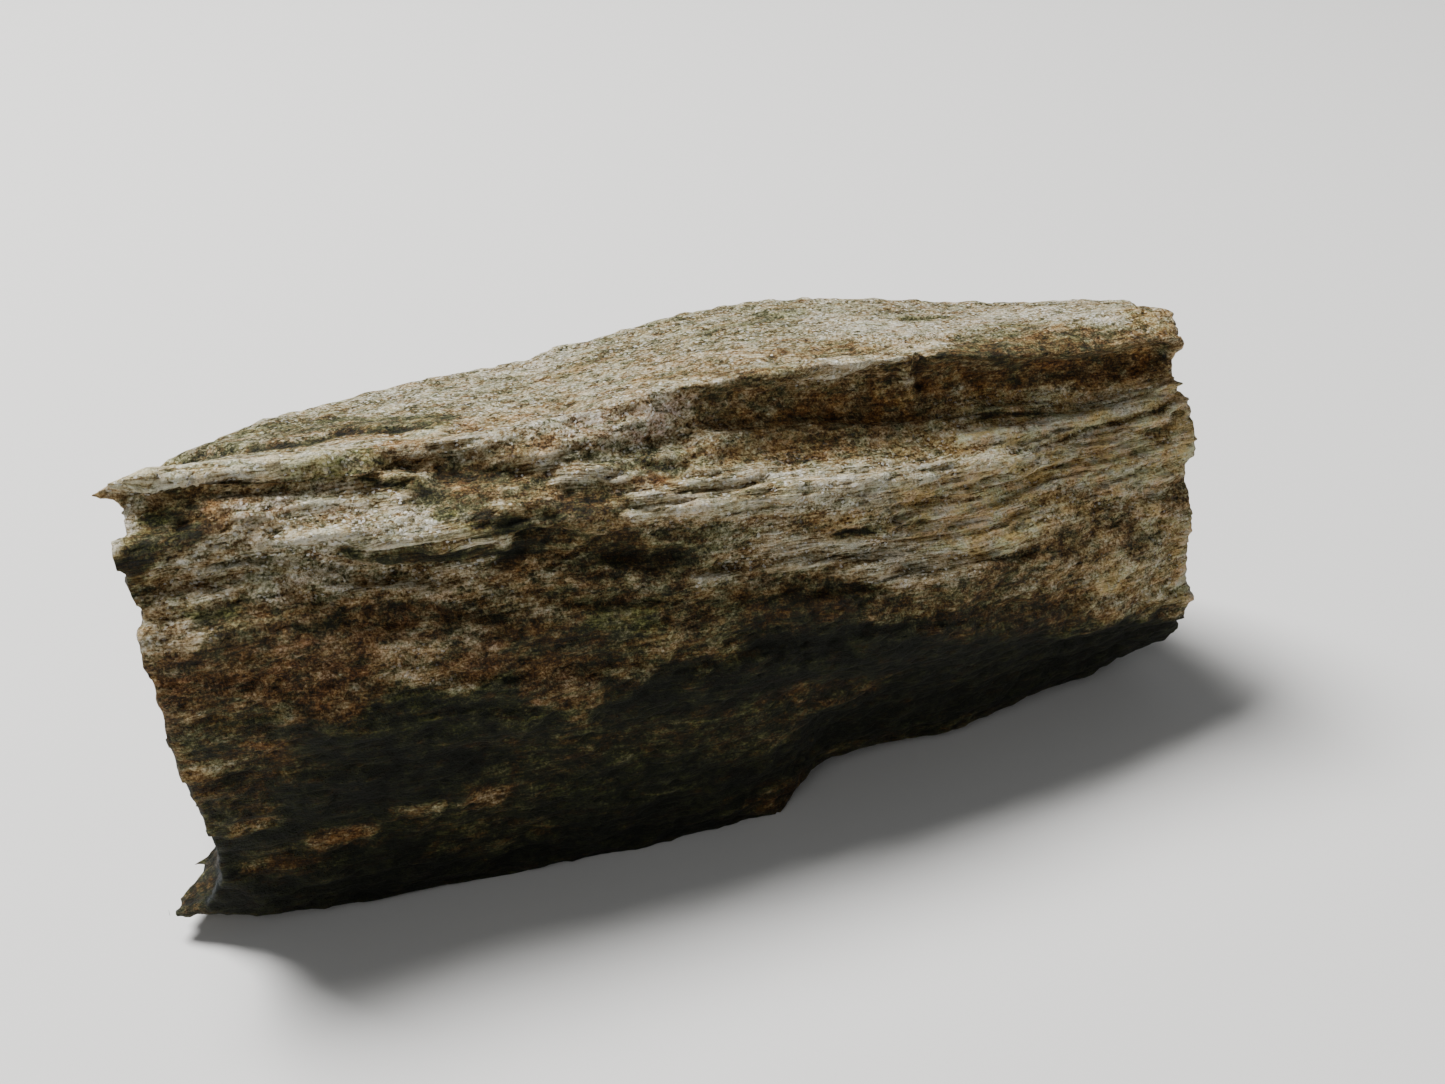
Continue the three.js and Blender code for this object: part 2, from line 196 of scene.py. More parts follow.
# Finishes: how light, streaked, rusty, green and rosy the rock is, from 0 to 1.
FINISH_VALUES = ("light", "streaks", "rust", "green", "rose")
FINISHES = {
    "cleaved": (0.66, 0.1, 0.05, 0.2, 0.2),
    "white": (0.78, 0.15, 0.0, 0.1, 0.25),
    "grey": (0.52, 0.25, 0.0, 0.5, 0.1),
    "ash": (0.42, 0.15, 0.05, 0.45, 0.1),
    # pale fibrous rock, lightened further as a painted highlight on the ridges and the lip
    "pearl_highlight": (0.90, 1.0, 0.3, 0.25, 0.0),
    "cream": (0.84, 0.9, 0.25, 0.1, 0.0),
    "fibrous": (0.82, 1.0, 0.4, 0.3, 0.0),
    # pale yellow rock, lightened further as painted light where the band lies in shade
    "lit_straw": (0.92, 0.85, 0.75, 0.55, 0.0),
    "lit_honey": (1.0, 0.8, 0.7, 0.5, 0.0),
    "tan": (0.66, 0.35, 0.4, 0.15, 0.1),
    "gold": (0.68, 0.35, 0.6, 0.4, 0.0),
    "ochre": (0.56, 0.3, 0.6, 0.3, 0.0),
    "brown": (0.42, 0.15, 0.25, 0.3, 0.4),
    "rosy": (0.70, 0.15, 0.1, 0.1, 0.8),
    "umber": (0.43, 0.2, 0.4, 0.4, 0.1),
    "loam": (0.50, 0.25, 0.5, 0.4, 0.1),
    "amber": (0.46, 0.25, 1.0, 0.3, 0.0),
    "rust": (0.48, 0.15, 1.0, 0.0, 0.2),
    "olive": (0.42, 0.3, 0.2, 1.0, 0.0),
    # green rock, lightened as painted light in the shaded hollow under the left lip
    "lit_moss": (0.60, 0.25, 0.3, 1.0, 0.0),
    "russet": (0.42, 0.1, 0.55, 0.1, 0.7),
    "peat": (0.28, 0.2, 0.5, 0.4, 0.1),
    # dark green-grey rock, made darker still as painted shade on the lower front, underside and low back
    "shaded_pine": (0.18, 0.15, 0.0, 1.0, 0.0),
    "drab": (0.25, 0.25, 0.2, 0.6, 0.1),
    "shade": (0.30, 0.3, 0.4, 0.5, 0.1),
    "shaded_slate": (0.08, 0.2, 0.0, 0.8, 0.0),
    "steel": (0.22, 0.2, 0.0, 0.3, 0.3),
    # dark rock of grooves, cracks and slots, darkened further as painted shade where ridges and lips shade
    # them
    "shaded_groove": (0.16, 0.5, 0.2, 0.6, 0.0),
}
# Where each finish is: (finish, radius, points).
PATCHES = [
    # top of the stone
    ("cream", 0.35, [(-12.1, -3.4, 19.1), (-9.6, -3.5, 18.9)]),
    ("ochre", 0.3, [(-8.6, -4, 18.5), (-7.1, -4.3, 18.5)]),
    ("cleaved", 2.61, [
        (-10.1, 2.4, 18.1), (-6.1, 1.4, 18.3), (-3.1, 0.2, 18.8), (1.6, 0.9, 19), (6.3, 1.2, 19),
    ]),
    ("cleaved", 2.17, [(-16.8, 1.1, 18.3), (-13.5, 1.8, 18.2)]),
    ("grey", 0.96, [(-19, 1.4, 17.9), (-16.8, 1.3, 18.3), (-13.9, 1.7, 18.2)]),
    ("white", 0.52, [(-16.9, 2.5, 18.1), (-15.2, 3.1, 18), (-13.1, 3.6, 18), (-11.4, 3.7, 17.9)]),
    ("ash", 0.17, [(-14.4, 1.2, 18.3), (-12.2, 0.3, 18.4), (-9.7, -1, 18.7)]),
    ("white", 0.78, [(-6.7, 5.3, 17.8), (-4.3, 4.4, 18)]),
    ("tan", 0.61, [(-10, -2.1, 18.9), (-8.4, -2.1, 18.9), (-5.4, -1.7, 18.9), (-2.4, -2.7, 19.4)]),
    ("white", 0.57, [(-9.4, -3.7, 18.6), (-8.3, -3.6, 18.8), (-6.6, -3.6, 18.9), (-4.8, -3.5, 19)]),
    ("tan", 0.96, [(-0.8, 0.6, 18.9), (1.9, -0.7, 19.2), (5.1, -0.6, 19.2)]),
    ("white", 0.96, [(8.4, 2.5, 18.7), (9.1, 0.1, 18.9), (11.4, -0.2, 18.7), (13.6, 0.2, 18.4)]),
    ("ash", 0.2, [(11.8, 2, 18.3), (13.8, 1.8, 18.1)]),
    ("white", 0.87, [(16, 1.8, 17.9), (18.3, 1.4, 17.8), (20, -0.8, 18.3)]),
    ("gold", 0.61, [(21.1, -1.6, 18.3), (23.1, -1, 18)]),
    ("ochre", 0.39, [(22.3, -2.6, 17.8), (22.9, -3.1, 17.2)]),
    ("grey", 0.35, [(13.2, -1.3, 18.6), (15.2, -1.2, 18.4)]),
    ("grey", 0.43, [(-16.8, 2.5, 18.1), (-14.8, 3.3, 18), (-12.2, 4, 17.9)]),
    ("ash", 0.39, [(-19.4, 1, 18), (-18.2, 0.4, 18.5), (-16.9, 0.2, 18.6), (-15.4, 0, 18.6)]),
    ("ash", 0.22, [(-14.6, 0.2, 18.5), (-13.3, 0, 18.6), (-11.5, -1, 18.7), (-9.7, -1.4, 18.8)]),
    # painted shade at the foot of the upper sheet's front edge
    ("drab", 0.09, [
        (-17.5, -0.7, 18.8), (-15.6, -1.1, 18.9), (-13.6, -0.4, 18.6), (-12.5, -1, 18.8),
        (-9.9, -1.7, 18.8),
    ]),
    ("tan", 0.26, [(-15.5, -0.2, 18.6), (-13.7, -1, 18.8), (-11.3, -2.5, 19)]),
    ("ochre", 0.39, [(-2.1, 3, 18.3), (-4.2, 2, 18.4)]),
    ("ochre", 0.35, [(0.5, -1.8, 19.3), (-1.8, -1.1, 19.1)]),
    ("grey", 0.43, [(4.5, 3.4, 18.7), (2.3, 2.7, 18.8), (7.6, 4, 18.5)]),
    # left lip and the hollow under it, the hollow lightened as painted light
    ("tan", 0.39, [(-14.3, -3.5, 18.4), (-12.8, -3.6, 18.3), (-11.7, -3.6, 18.2)]),
    ("ochre", 0.26, [(-23.5, -3.5, 19.5), (-22.6, -3.8, 19.3)]),
    ("pearl_highlight", 0.35, [
        (-22.8, -3.9, 20.1), (-21.8, -3.4, 20), (-20.4, -3.4, 19.9), (-19, -3.5, 19.8), (-18, -3.8, 19.7),
        (-16.4, -3.3, 19.5), (-14.5, -2.8, 19.2), (-12, -2, 18.9), (-10, -1.8, 18.8),
    ]),
    ("pearl_highlight", 0.3, [(-21.5, -3.8, 19.9), (-19.8, -3.8, 19.7), (-18.3, -3.8, 19.6)]),
    ("lit_moss", 0.39, [(-16.5, -3.6, 19), (-14.8, -3.5, 19), (-13.1, -3.4, 18.8)]),
    ("umber", 0.35, [(-21.2, -3.6, 19.3), (-19.8, -3.8, 19.2), (-18.4, -3.8, 19)]),
    ("ochre", 0.35, [(-19.3, -3.8, 19.1), (-18, -3.6, 19), (-16.5, -3.5, 18.9)]),
    ("umber", 0.43, [(-21.3, -4.1, 19), (-20.6, -4.3, 18.9), (-20.1, -4.9, 18.5)]),
    ("rust", 0.3, [(-19.5, -4.6, 18.9), (-19.3, -4.9, 18.4)]),
    ("olive", 0.3, [(-21.8, -4.6, 18.6), (-21.1, -4.6, 18.6)]),
    ("peat", 0.39, [(-22.5, -5.6, 18.3), (-21.6, -5.3, 18.3), (-20.9, -5, 18.3)]),
    ("shaded_groove", 0.22, [(-20.8, -4.8, 18.4), (-20.7, -5, 18.3)]),
    ("white", 0.17, [(-22.4, -3.9, 19.1), (-22.6, -4.7, 18.6), (-23.2, -5.6, 18.3)]),
    ("olive", 0.39, [(-22.4, -5.6, 18.2), (-21.3, -5.3, 18.2)]),
    ("shaded_groove", 0.3, [(-23.1, -5.8, 17.7), (-22.1, -5.8, 17.6)]),
    # plateau, its ridges and the groove under them, darkened there as painted shade
    ("pearl_highlight", 0.48, [(-16.5, -4.7, 18.1), (-14.8, -4.5, 18), (-13.1, -4.6, 17.8)]),
    ("white", 0.39, [(-18.9, -5.3, 17.3), (-17.3, -5.5, 17.5), (-15.7, -5.6, 17.5)]),
    ("tan", 0.57, [(-20.8, -5.6, 16.7), (-19, -5.5, 16.5)]),
    ("tan", 0.57, [(-17, -5.8, 15.8), (-15.2, -5.9, 15.3), (-13.9, -6.1, 14.9)]),
    ("umber", 0.57, [(-9.6, -5.4, 17.4), (-8.5, -5.9, 17.1), (-7.2, -6.2, 16.6)]),
    ("rosy", 0.96, [(-18.8, -4.7, 18.7), (-15.5, -5, 17.8), (-14, -4.9, 17.7)]),
    ("tan", 0.61, [(-18.4, -5.1, 17.9), (-16, -5.5, 17.6)]),
    ("tan", 0.35, [(-19, -5.3, 17.5), (-20.3, -5.5, 17.2), (-21.6, -6, 17)]),
    ("umber", 0.39, [(-11.7, -4.9, 17.7), (-9.9, -5.3, 17.4), (-8, -5.6, 17.3)]),
    ("white", 0.35, [(-13.6, -5.6, 17.5), (-11.9, -5.7, 17.2)]),
    ("white", 0.48, [(-20.1, -5.4, 17.7), (-18.9, -5.4, 17.5)]),
    ("white", 0.48, [(-18.6, -5.4, 17.1), (-16.8, -5.4, 16.9), (-15, -5.7, 16.6)]),
    ("shaded_groove", 0.35, [(-9.9, -6, 16.9), (-8.6, -6.2, 16.5)]),
    ("shaded_groove", 0.35, [(-12, -5.8, 15.9), (-10.2, -5.9, 15.8)]),
    ("pearl_highlight", 0.22, [(-18.7, -5.3, 17.3), (-17.1, -5.6, 17.4), (-16.1, -5.7, 17.4), (-15.5, -5.7, 17.4)]),
    ("pearl_highlight", 0.3, [
        (-15.4, -5.9, 17.3), (-13.9, -5.9, 16.7), (-12.4, -6.1, 16.9), (-10.9, -6.1, 16.5),
        (-9.2, -6, 15.9),
    ]),
    ("shaded_groove", 0.35, [(-13.8, -5.8, 16.2), (-11.7, -5.8, 15.9), (-9.4, -5.9, 15.5), (-7.8, -6.1, 15.6)]),
    ("shaded_slate", 0.39, [(-15, -5.7, 16.6), (-13.8, -6, 16)]),
    # knobs
    ("rust", 0.61, [(-13, -3, 19.1), (-11.5, -3.4, 19)]),
    ("ochre", 0.35, [(-13.3, -3.5, 18.6), (-12.9, -3.5, 18.4)]),
    ("shaded_groove", 0.17, [(-13.9, -3.6, 18.3), (-13.6, -3.9, 18.1), (-13.1, -4.1, 17.9)]),
    ("grey", 0.35, [(-12.6, -3.9, 18.1), (-11.7, -4.2, 17.9)]),
    ("shaded_groove", 0.17, [(-12.6, -4.2, 17.8), (-12, -4.7, 17.7)]),
    # middle
    ("white", 0.43, [(-3.8, -2.4, 19.2), (-2.4, -3.3, 19.5)]),
    ("peat", 0.39, [(-10.8, -4, 18.1), (-9.6, -4.4, 18)]),
    ("umber", 0.65, [(-10.4, -3.9, 18.3), (-9.1, -4.3, 18.2), (-8.4, -4.8, 17.8)]),
    ("rust", 0.22, [(-6.9, -4.1, 18.6), (-6.5, -4.1, 18.6)]),
    ("cream", 0.26, [(-7.5, -4.5, 18.1), (-6.7, -4.5, 18.3)]),
    ("cream", 0.22, [(-6.6, -5.1, 17.5), (-5, -5.1, 17.4), (-4.2, -5.3, 17.2)]),
    ("rosy", 0.43, [(-6, -3.5, 19), (-4.4, -3.5, 19.1), (-3.1, -3.4, 19.1)]),
    ("rosy", 0.52, [(-2.6, -3.3, 19.3), (-1.4, -3.4, 18.9), (-0.1, -3.2, 18.7)]),
    ("rosy", 0.52, [(-4, -4.2, 18.3), (-2.5, -3.9, 18.3)]),
    ("tan", 0.43, [(-4, -3.2, 19.3), (-2.6, -3.3, 19.3)]),
    ("tan", 0.43, [(-0.4, -4, 17.5), (0.9, -4, 17.2)]),
    ("grey", 0.39, [(-4.8, -4.7, 17.7), (-3.2, -4.8, 17.4), (-1.5, -4.7, 17.2)]),
    ("rust", 0.26, [(-3.6, -5.4, 16.9), (-2.7, -5.4, 16.8)]),
    ("umber", 0.65, [(-6.4, -5.8, 16.9), (-5.2, -5.7, 16.9), (-4.5, -6.1, 16.4)]),
    ("ochre", 0.3, [(-10.5, -4.9, 17.7), (-9.1, -5.3, 17.5), (-7.5, -5.5, 17.3)]),
    ("cream", 0.22, [(-9.2, -5.6, 17.3), (-8.1, -6, 16.9)]),
    ("olive", 0.3, [(-11.3, -5.7, 17.2), (-10.5, -6, 16.9), (-9.4, -6.1, 16.6)]),
    ("umber", 0.52, [(-7.7, -5.8, 15.9), (-6.8, -6.1, 15.5)]),
    ("ochre", 0.22, [(-5.9, -6.3, 16), (-3.8, -6.3, 15.7)]),
    ("shade", 0.17, [(-5.9, -6.3, 15.5), (-3.9, -6.4, 15.2)]),
    ("shade", 0.3, [(-5.5, -6.4, 14.6), (-3.5, -6.5, 14.3), (-2.2, -6.6, 14.1)]),
    ("grey", 0.43, [(-3.5, -6.5, 14.9), (-1.4, -6.4, 14.6), (0.3, -6.5, 14.5)]),
    ("rust", 0.35, [(-9.9, -6.1, 14.7), (-9.1, -6.2, 14.6)]),
    ("ochre", 0.26, [(-8.1, -6.1, 14.9), (-7.6, -6.2, 14.8)]),
    ("cream", 0.22, [(-11.7, -5.8, 15.1), (-9.8, -6, 15.1)]),
    ("brown", 0.61, [(-5.7, -6.9, 14), (-3.3, -7, 13.6)]),
    ("cream", 0.17, [(-1.7, -7, 12.9), (0.3, -6.8, 12.7)]),
    ("tan", 0.39, [(0.1, -6.6, 13.4), (1.5, -6.7, 13.3)]),
    ("cream", 0.26, [(1.7, -6.8, 13.1), (3, -6.9, 12.7)]),
    # right lip and recess
    ("ochre", 0.43, [(4.8, -1.1, 19.2), (7.5, -1.4, 19.1)]),
    ("peat", 0.35, [(8.8, -2.9, 18.8), (10.6, -2.3, 17.9)]),
    ("umber", 0.35, [(0, -3.2, 18.9), (1.7, -3.1, 19.1)]),
    # painted shade on the underside of the right lip
    ("umber", 0.52, [(11.3, -2.7, 18.8), (13.6, -3.3, 18.6), (16.5, -3.3, 18.2), (20.1, -2.6, 17.2)]),
    ("lit_straw", 0.52, [(14, -3.4, 15.3), (16.2, -3.5, 15), (18.6, -3.7, 14.9)]),
    ("cream", 0.22, [(-2, -1.7, 19.2), (-0.6, -2.6, 19.4), (0.8, -3.2, 19.6)]),
    ("cream", 0.22, [
        (3, -1.2, 19.3), (5.4, -2.7, 19.3), (7.1, -3.1, 19.2), (9.6, -2.2, 18.9), (11.8, -2.1, 18.7),
    ]),
    ("cream", 0.17, [(4.6, -2.7, 18.7), (6.4, -2.7, 18.6), (7.7, -3, 19), (9.2, -3.2, 19)]),
    ("cream", 0.26, [(9.3, -2.8, 18.5), (9.5, -2.6, 17.7)]),
    ("loam", 0.61, [(-0.1, -3.3, 18.6), (2.7, -3, 18.4), (5.1, -2.6, 18.2), (9.3, -2.5, 18.1)]),
    ("amber", 0.65, [(1.6, -3.4, 17.5), (4.3, -3.4, 16.8), (6.7, -3, 16.7)]),
    ("amber", 0.61, [(4.5, -2.8, 17.7), (7.3, -2.8, 17.4), (9.4, -2.8, 16.8)]),
    ("shade", 0.39, [(11.4, -3, 18.8), (13.6, -3.3, 18.6), (14.7, -2.4, 17)]),
    ("amber", 0.61, [(10.6, -2.4, 17.2), (12.4, -2.2, 17.1), (14.2, -2.5, 16.6)]),
    ("amber", 0.65, [(15.6, -2.6, 17.3), (18.2, -2.4, 16.5), (20.2, -2.5, 16.3), (21.7, -2.6, 16.5)]),
    ("gold", 0.52, [(11.1, -2.8, 16.2), (14.2, -2.6, 15.8), (17.1, -2.8, 15.6)]),
    ("gold", 0.39, [(10.4, -3.4, 15.7), (11.9, -3.2, 15.5)]),
    ("shade", 0.17, [(12.9, -3.2, 15.4), (14.3, -3.4, 15.3), (16.3, -3.4, 15.1)]),
    ("ochre", 0.52, [(0.2, -4.2, 17), (2.9, -3.8, 16.8)]),
    ("loam", 0.52, [(2.9, -3.8, 16.8), (5.2, -3.7, 16.4), (7.7, -3.7, 16)]),
    ("gold", 0.39, [(17, -3.1, 15.1), (18.9, -3.2, 15.1)]),
    ("tan", 0.35, [(19.5, -3, 15.3), (21.5, -3.1, 15.4)]),
    # band, its pale finishes lightened further as painted light
    ("pearl_highlight", 0.39, [(2, -6.2, 15.7), (4.1, -6.3, 15.5), (6.2, -6.3, 14.8)]),
    ("pearl_highlight", 0.3, [(-0.7, -6.3, 15.7), (1.4, -6.3, 15.5)]),
    ("lit_honey", 0.43, [(10.8, -5.5, 14.5), (13.9, -5.2, 14.2)]),
    ("lit_honey", 0.43, [(14.4, -5.1, 14.3), (17.6, -4.3, 13.9), (20.3, -4.4, 14.1)]),
    ("lit_straw", 0.35, [(4.8, -6.8, 13.9), (7.8, -6.2, 13.3), (10.6, -6, 12.9)]),
    ("lit_honey", 0.35, [
        (11.3, -4.3, 15.3), (13.3, -4.3, 15.1), (16.6, -3.7, 14.9), (18.7, -3.6, 14.9),
        (21.2, -3.6, 15), (22.8, -3.5, 15.1),
    ]),
    ("lit_straw", 0.22, [(18.4, -3.3, 15), (21.5, -3.1, 15.5), (23.2, -3.3, 15.4)]),
    ("umber", 0.09, [(13.4, -5, 14.6), (16.3, -4.3, 14.4), (18.9, -4.1, 14.5), (21.8, -4, 14.7)]),
    ("ochre", 0.39, [(-0.6, -4.5, 17.3), (2.8, -4.7, 16.4), (6, -4.6, 16)]),
    ("gold", 0.39, [(8.3, -4.7, 15.6), (12.1, -4.7, 15.1)]),
    ("cream", 0.39, [
        (0.1, -5.5, 16.4), (1.6, -5.4, 16.3), (3.2, -5.9, 15.9), (4.9, -6.1, 15.6),
        (6.8, -5.9, 15.4), (9.3, -5.5, 15), (12.7, -5.4, 14.4),
    ]),
    ("lit_honey", 0.7, [(12.9, -5.1, 14.7), (16.3, -4.4, 14.2), (19.4, -4.3, 14.1), (21.4, -4.4, 14.1)]),
    ("white", 0.52, [(2.8, -6.3, 15.6), (4.8, -6.4, 15.2)]),
    ("fibrous", 0.43, [(-3.3, -5.9, 16.3), (-0.3, -5.9, 15.9), (1.7, -6.2, 15.6)]),
    ("cream", 0.22, [(-4.4, -6.3, 16.1), (-2.7, -6.1, 15.9), (-0.6, -6.2, 15.7)]),
    ("tan", 0.39, [(-3, -6.3, 15.4), (-0.9, -6.3, 15), (1.2, -6.5, 14.7)]),
    ("brown", 0.43, [(-3.5, -6.5, 15.1), (-1.4, -6.4, 14.6)]),
    ("ochre", 0.26, [(2.9, -6.6, 14.3), (5, -6.8, 13.9), (6.5, -6.7, 13.7)]),
    ("shaded_groove", 0.13, [(7.3, -6.5, 13.2), (8.9, -6.2, 12.9)]),
    ("lit_straw", 0.57, [(7.8, -5.8, 13.9), (10.7, -5.7, 13.7), (13.8, -5.3, 13.2)]),
    ("lit_straw", 0.61, [(12.9, -5.1, 13.5), (16, -5, 13.2), (18.7, -4.8, 12.9)]),
    ("gold", 0.43, [(15.2, -5.7, 12.3), (16.9, -5.4, 12.1)]),
    ("lit_straw", 0.35, [(10, -6.2, 12.5), (12, -6.2, 12.3), (13, -6.1, 12.2)]),
    ("lit_straw", 0.48, [(7.5, -6.5, 12.7), (10, -6.3, 12.4), (14.1, -5.8, 12.5)]),
    ("cream", 0.52, [(1.1, -6.6, 13.5), (2.8, -6.8, 13.2), (5.1, -6.8, 12.8), (7.5, -6.6, 12.2)]),
    ("cream", 0.13, [(1.2, -6.6, 13.4), (2.2, -6.7, 13.3), (3.1, -6.9, 12.7)]),
    ("cream", 0.48, [(4.8, -7.3, 12.1), (7.3, -7, 11.3), (10.2, -6.9, 10.9)]),
    ("lit_straw", 0.48, [(9.4, -6.6, 11.9), (12.2, -6.7, 11.6)]),
    ("shaded_groove", 0.13, [(4.5, -6.8, 13.6), (5.9, -6.8, 13.4)]),
    ("ochre", 0.35, [(14.4, -6.9, 10.5), (15.1, -7, 10)]),
    ("brown", 0.39, [(11.9, -7.5, 10.3), (12.9, -7.4, 9.8)]),
    ("lit_straw", 0.52, [(17.7, -4.8, 13), (19.2, -4.9, 12.7), (20.3, -4.8, 12.6)]),
    ("lit_straw", 0.3, [(21.1, -4.9, 11.6), (21.7, -4.6, 11.9)]),
    ("ochre", 0.35, [(22.5, -4.9, 11), (22.4, -5.1, 10.7)]),
    ("umber", 0.22, [(20.9, -4.3, 13.8), (21.9, -4.3, 13.8)]),
    ("lit_straw", 0.35, [(22.7, -4.4, 13.3), (23.4, -4.4, 12.8)]),
    ("brown", 0.43, [(0.2, -6.8, 12.8), (1.8, -7.1, 12.2), (3.5, -7.4, 11.6)]),
    ("peat", 0.52, [(0.9, -7.3, 11.6), (3.2, -7.9, 11.3), (4.6, -7.8, 11)]),
    # right, under the band
    ("umber", 0.43, [(6.1, -7.8, 10.5), (8.4, -7.8, 9.9), (9.9, -7.7, 9.8), (12.2, -7.5, 9)]),
    ("ochre", 0.57, [(14, -7.3, 9.7), (16.1, -6.9, 8.8), (15.2, -7, 8.4)]),
    ("umber", 0.39, [(14.3, -7, 10.5), (16.2, -6.5, 10.3)]),
    ("umber", 0.35, [(18.5, -5.9, 10.7), (19.7, -6.2, 9.3)]),
    ("gold", 0.52, [(18.5, -6.6, 8.6), (20.8, -6.3, 7.1), (21.2, -6.1, 8.4)]),
    ("ochre", 0.39, [(19.3, -6.6, 6.8), (17.5, -6.9, 7.2)]),
    ("lit_straw", 0.35, [(22.9, -5.9, 6.3), (22.8, -5.8, 7.9), (22.4, -5.8, 9.3)]),
    ("umber", 0.35, [(23, -5.7, 4.9), (21.8, -5.9, 5)]),
    ("lit_straw", 0.26, [(17.8, -6.7, 8), (18.5, -6.7, 8.1)]),
    ("gold", 0.35, [(20.5, -5.8, 10.2), (21.2, -6, 9.2)]),
    ("ochre", 0.52, [(17.5, -6.4, 9.9), (18.1, -6.1, 10.4)]),
    ("peat", 0.43, [(15.3, -7.2, 7.2), (12, -7.6, 8.3), (9.3, -7.9, 9)]),
    # belly, its lower part painted darker as shade
    ("tan", 0.52, [(-15.3, -5.7, 15.6), (-13.2, -5.6, 15.2), (-11.3, -5.9, 14.7)]),
    ("shaded_slate", 0.57, [(-18.5, -7.4, 10.2), (-16.3, -7.4, 9.1), (-14.1, -7.4, 7.7)]),
    ("shaded_slate", 0.57, [(-21.1, -7.4, 11.5), (-19.7, -7.4, 11.2), (-17.9, -7.5, 10.2)]),
    ("drab", 0.43, [(-21, -7.3, 10.4), (-19.4, -7.3, 9.8)]),
    ("grey", 0.39, [(-19.8, -5.6, 16.4), (-16.9, -5.7, 16.3)]),
    ("white", 0.57, [(-17.3, -5.6, 16.1), (-15.1, -5.5, 15.8), (-13, -5.5, 15.4)]),
    ("tan", 0.39, [(-12.5, -5.7, 15), (-10.6, -6, 14.8)]),
    ("rosy", 0.43, [(-18.2, -6.1, 15.6), (-16, -6.1, 15.2)]),
    ("tan", 0.35, [(-12.4, -6.4, 14.3), (-10.6, -6.4, 14), (-8.9, -6.7, 13.6)]),
    ("cream", 0.17, [(-22.2, -5.8, 17.3), (-20.4, -5.5, 17), (-18.3, -5.3, 16.6)]),
    ("cream", 0.17, [(-20.7, -6.1, 16.2), (-19.7, -6, 16.1)]),
    ("cream", 0.17, [(-16.4, -6.1, 15.3), (-14.5, -5.9, 15), (-12.6, -5.9, 14.7)]),
    ("tan", 0.39, [(-14.4, -5.6, 15.3), (-12.5, -5.7, 15)]),
    ("olive", 0.22, [(-20.9, -6.6, 15.6), (-19.6, -6.5, 15.5)]),
    ("umber", 0.3, [(-20.4, -6.3, 15.8), (-19, -6.3, 15.5)]),
    ("tan", 0.39, [(-22.9, -6.9, 15.4), (-22.3, -7, 15), (-21.5, -7.1, 14.9)]),
    ("tan", 0.26, [(-21.7, -6.7, 15.5), (-20.7, -6.9, 15.2)]),
    ("russet", 0.96, [(-22.2, -7.1, 13.5), (-20.1, -7.2, 13.4), (-17.6, -7.2, 13.1)]),
    ("peat", 0.39, [(-21.1, -7.2, 14.3), (-19.6, -7.2, 14.1)]),
    ("russet", 0.96, [(-17.3, -6.8, 14.5), (-15.2, -6.9, 13.8), (-12.8, -6.6, 13.9)]),
    ("umber", 0.7, [(-18.7, -6.8, 15), (-17.2, -6.4, 15), (-13.5, -6.4, 14.4)]),
    ("brown", 0.87, [(-12.2, -7, 13.6), (-9.7, -6.7, 13.5), (-7.5, -7.2, 13)]),
    ("tan", 0.3, [(-14.4, -7.3, 12.9), (-12.7, -7.4, 12.7)]),
    ("tan", 0.3, [(-14.8, -7.4, 12.1), (-12.5, -7.5, 11.5), (-11.7, -7.8, 10.9)]),
    ("russet", 1.04, [(-21.3, -7.3, 12.5), (-17.7, -7.4, 12.1), (-15.1, -7.5, 11.8)]),
    ("russet", 0.87, [(-11.3, -7.6, 11.6), (-9.4, -7.8, 11.1), (-7, -7.8, 10.6)]),
    ("peat", 0.61, [(-9.3, -7.6, 12.3), (-6.1, -7.7, 11.2), (-7.7, -7.7, 12)]),
    ("olive", 0.39, [(-4, -7.7, 12.1), (-5.3, -7.8, 12), (-6.5, -7.7, 12.5)]),
    ("ochre", 0.43, [(-8.1, -7.1, 13.2), (-9.7, -6.6, 13.7)]),
    ("umber", 0.7, [(-1.8, -7.4, 11.8), (-4.1, -7.8, 10.7), (-0.7, -7.9, 10.4)]),
    ("brown", 0.3, [(-4.6, -8, 9.5), (-5.4, -7.9, 10.1)]),
    ("umber", 0.35, [(-7.9, -8, 9.7), (-6.7, -8, 9.1)]),
    ("ochre", 0.22, [(-21.7, -7.3, 11.9), (-20.5, -7.4, 11.7)]),
    ("umber", 0.61, [(-21.5, -7.3, 10.8), (-20, -7.4, 11.2), (-18.2, -7.6, 11.2)]),
    ("rust", 0.39, [(-20, -7.3, 10.2), (-19.1, -7.3, 9.8), (-18.1, -7.5, 10.2)]),
    ("rust", 0.3, [(-16.9, -7.5, 11.2), (-16, -7.6, 10.8)]),
    ("ochre", 0.26, [(-21.7, -7.1, 9.2), (-20.8, -7.1, 9.1)]),
    ("peat", 0.52, [(-21.2, -7.1, 8.6), (-19.8, -7.1, 8.4), (-18.6, -7.2, 8.8)]),
    ("shaded_pine", 0.7, [(-15.1, -7.6, 10.8), (-13, -7.7, 10.3), (-10.3, -8, 10.5)]),
    ("shaded_pine", 0.61, [(-12.7, -7.7, 9.3), (-10.4, -7.9, 8.6), (-8.8, -8, 8.7)]),
    ("shaded_slate", 1.04, [(-16.9, -7.3, 8.8), (-14.3, -7.4, 8.2), (-12.4, -7.5, 7)]),
    ("shaded_slate", 0.7, [(-17.5, -6.9, 6.1), (-14.8, -7.2, 6), (-12.8, -7.3, 6)]),
    ("drab", 0.35, [(-11.5, -7.6, 8), (-9.6, -7.8, 8.1)]),
    ("drab", 0.43, [(-10.8, -7.5, 6.8), (-8.7, -7.4, 5.9), (-6.2, -7.6, 6.3)]),
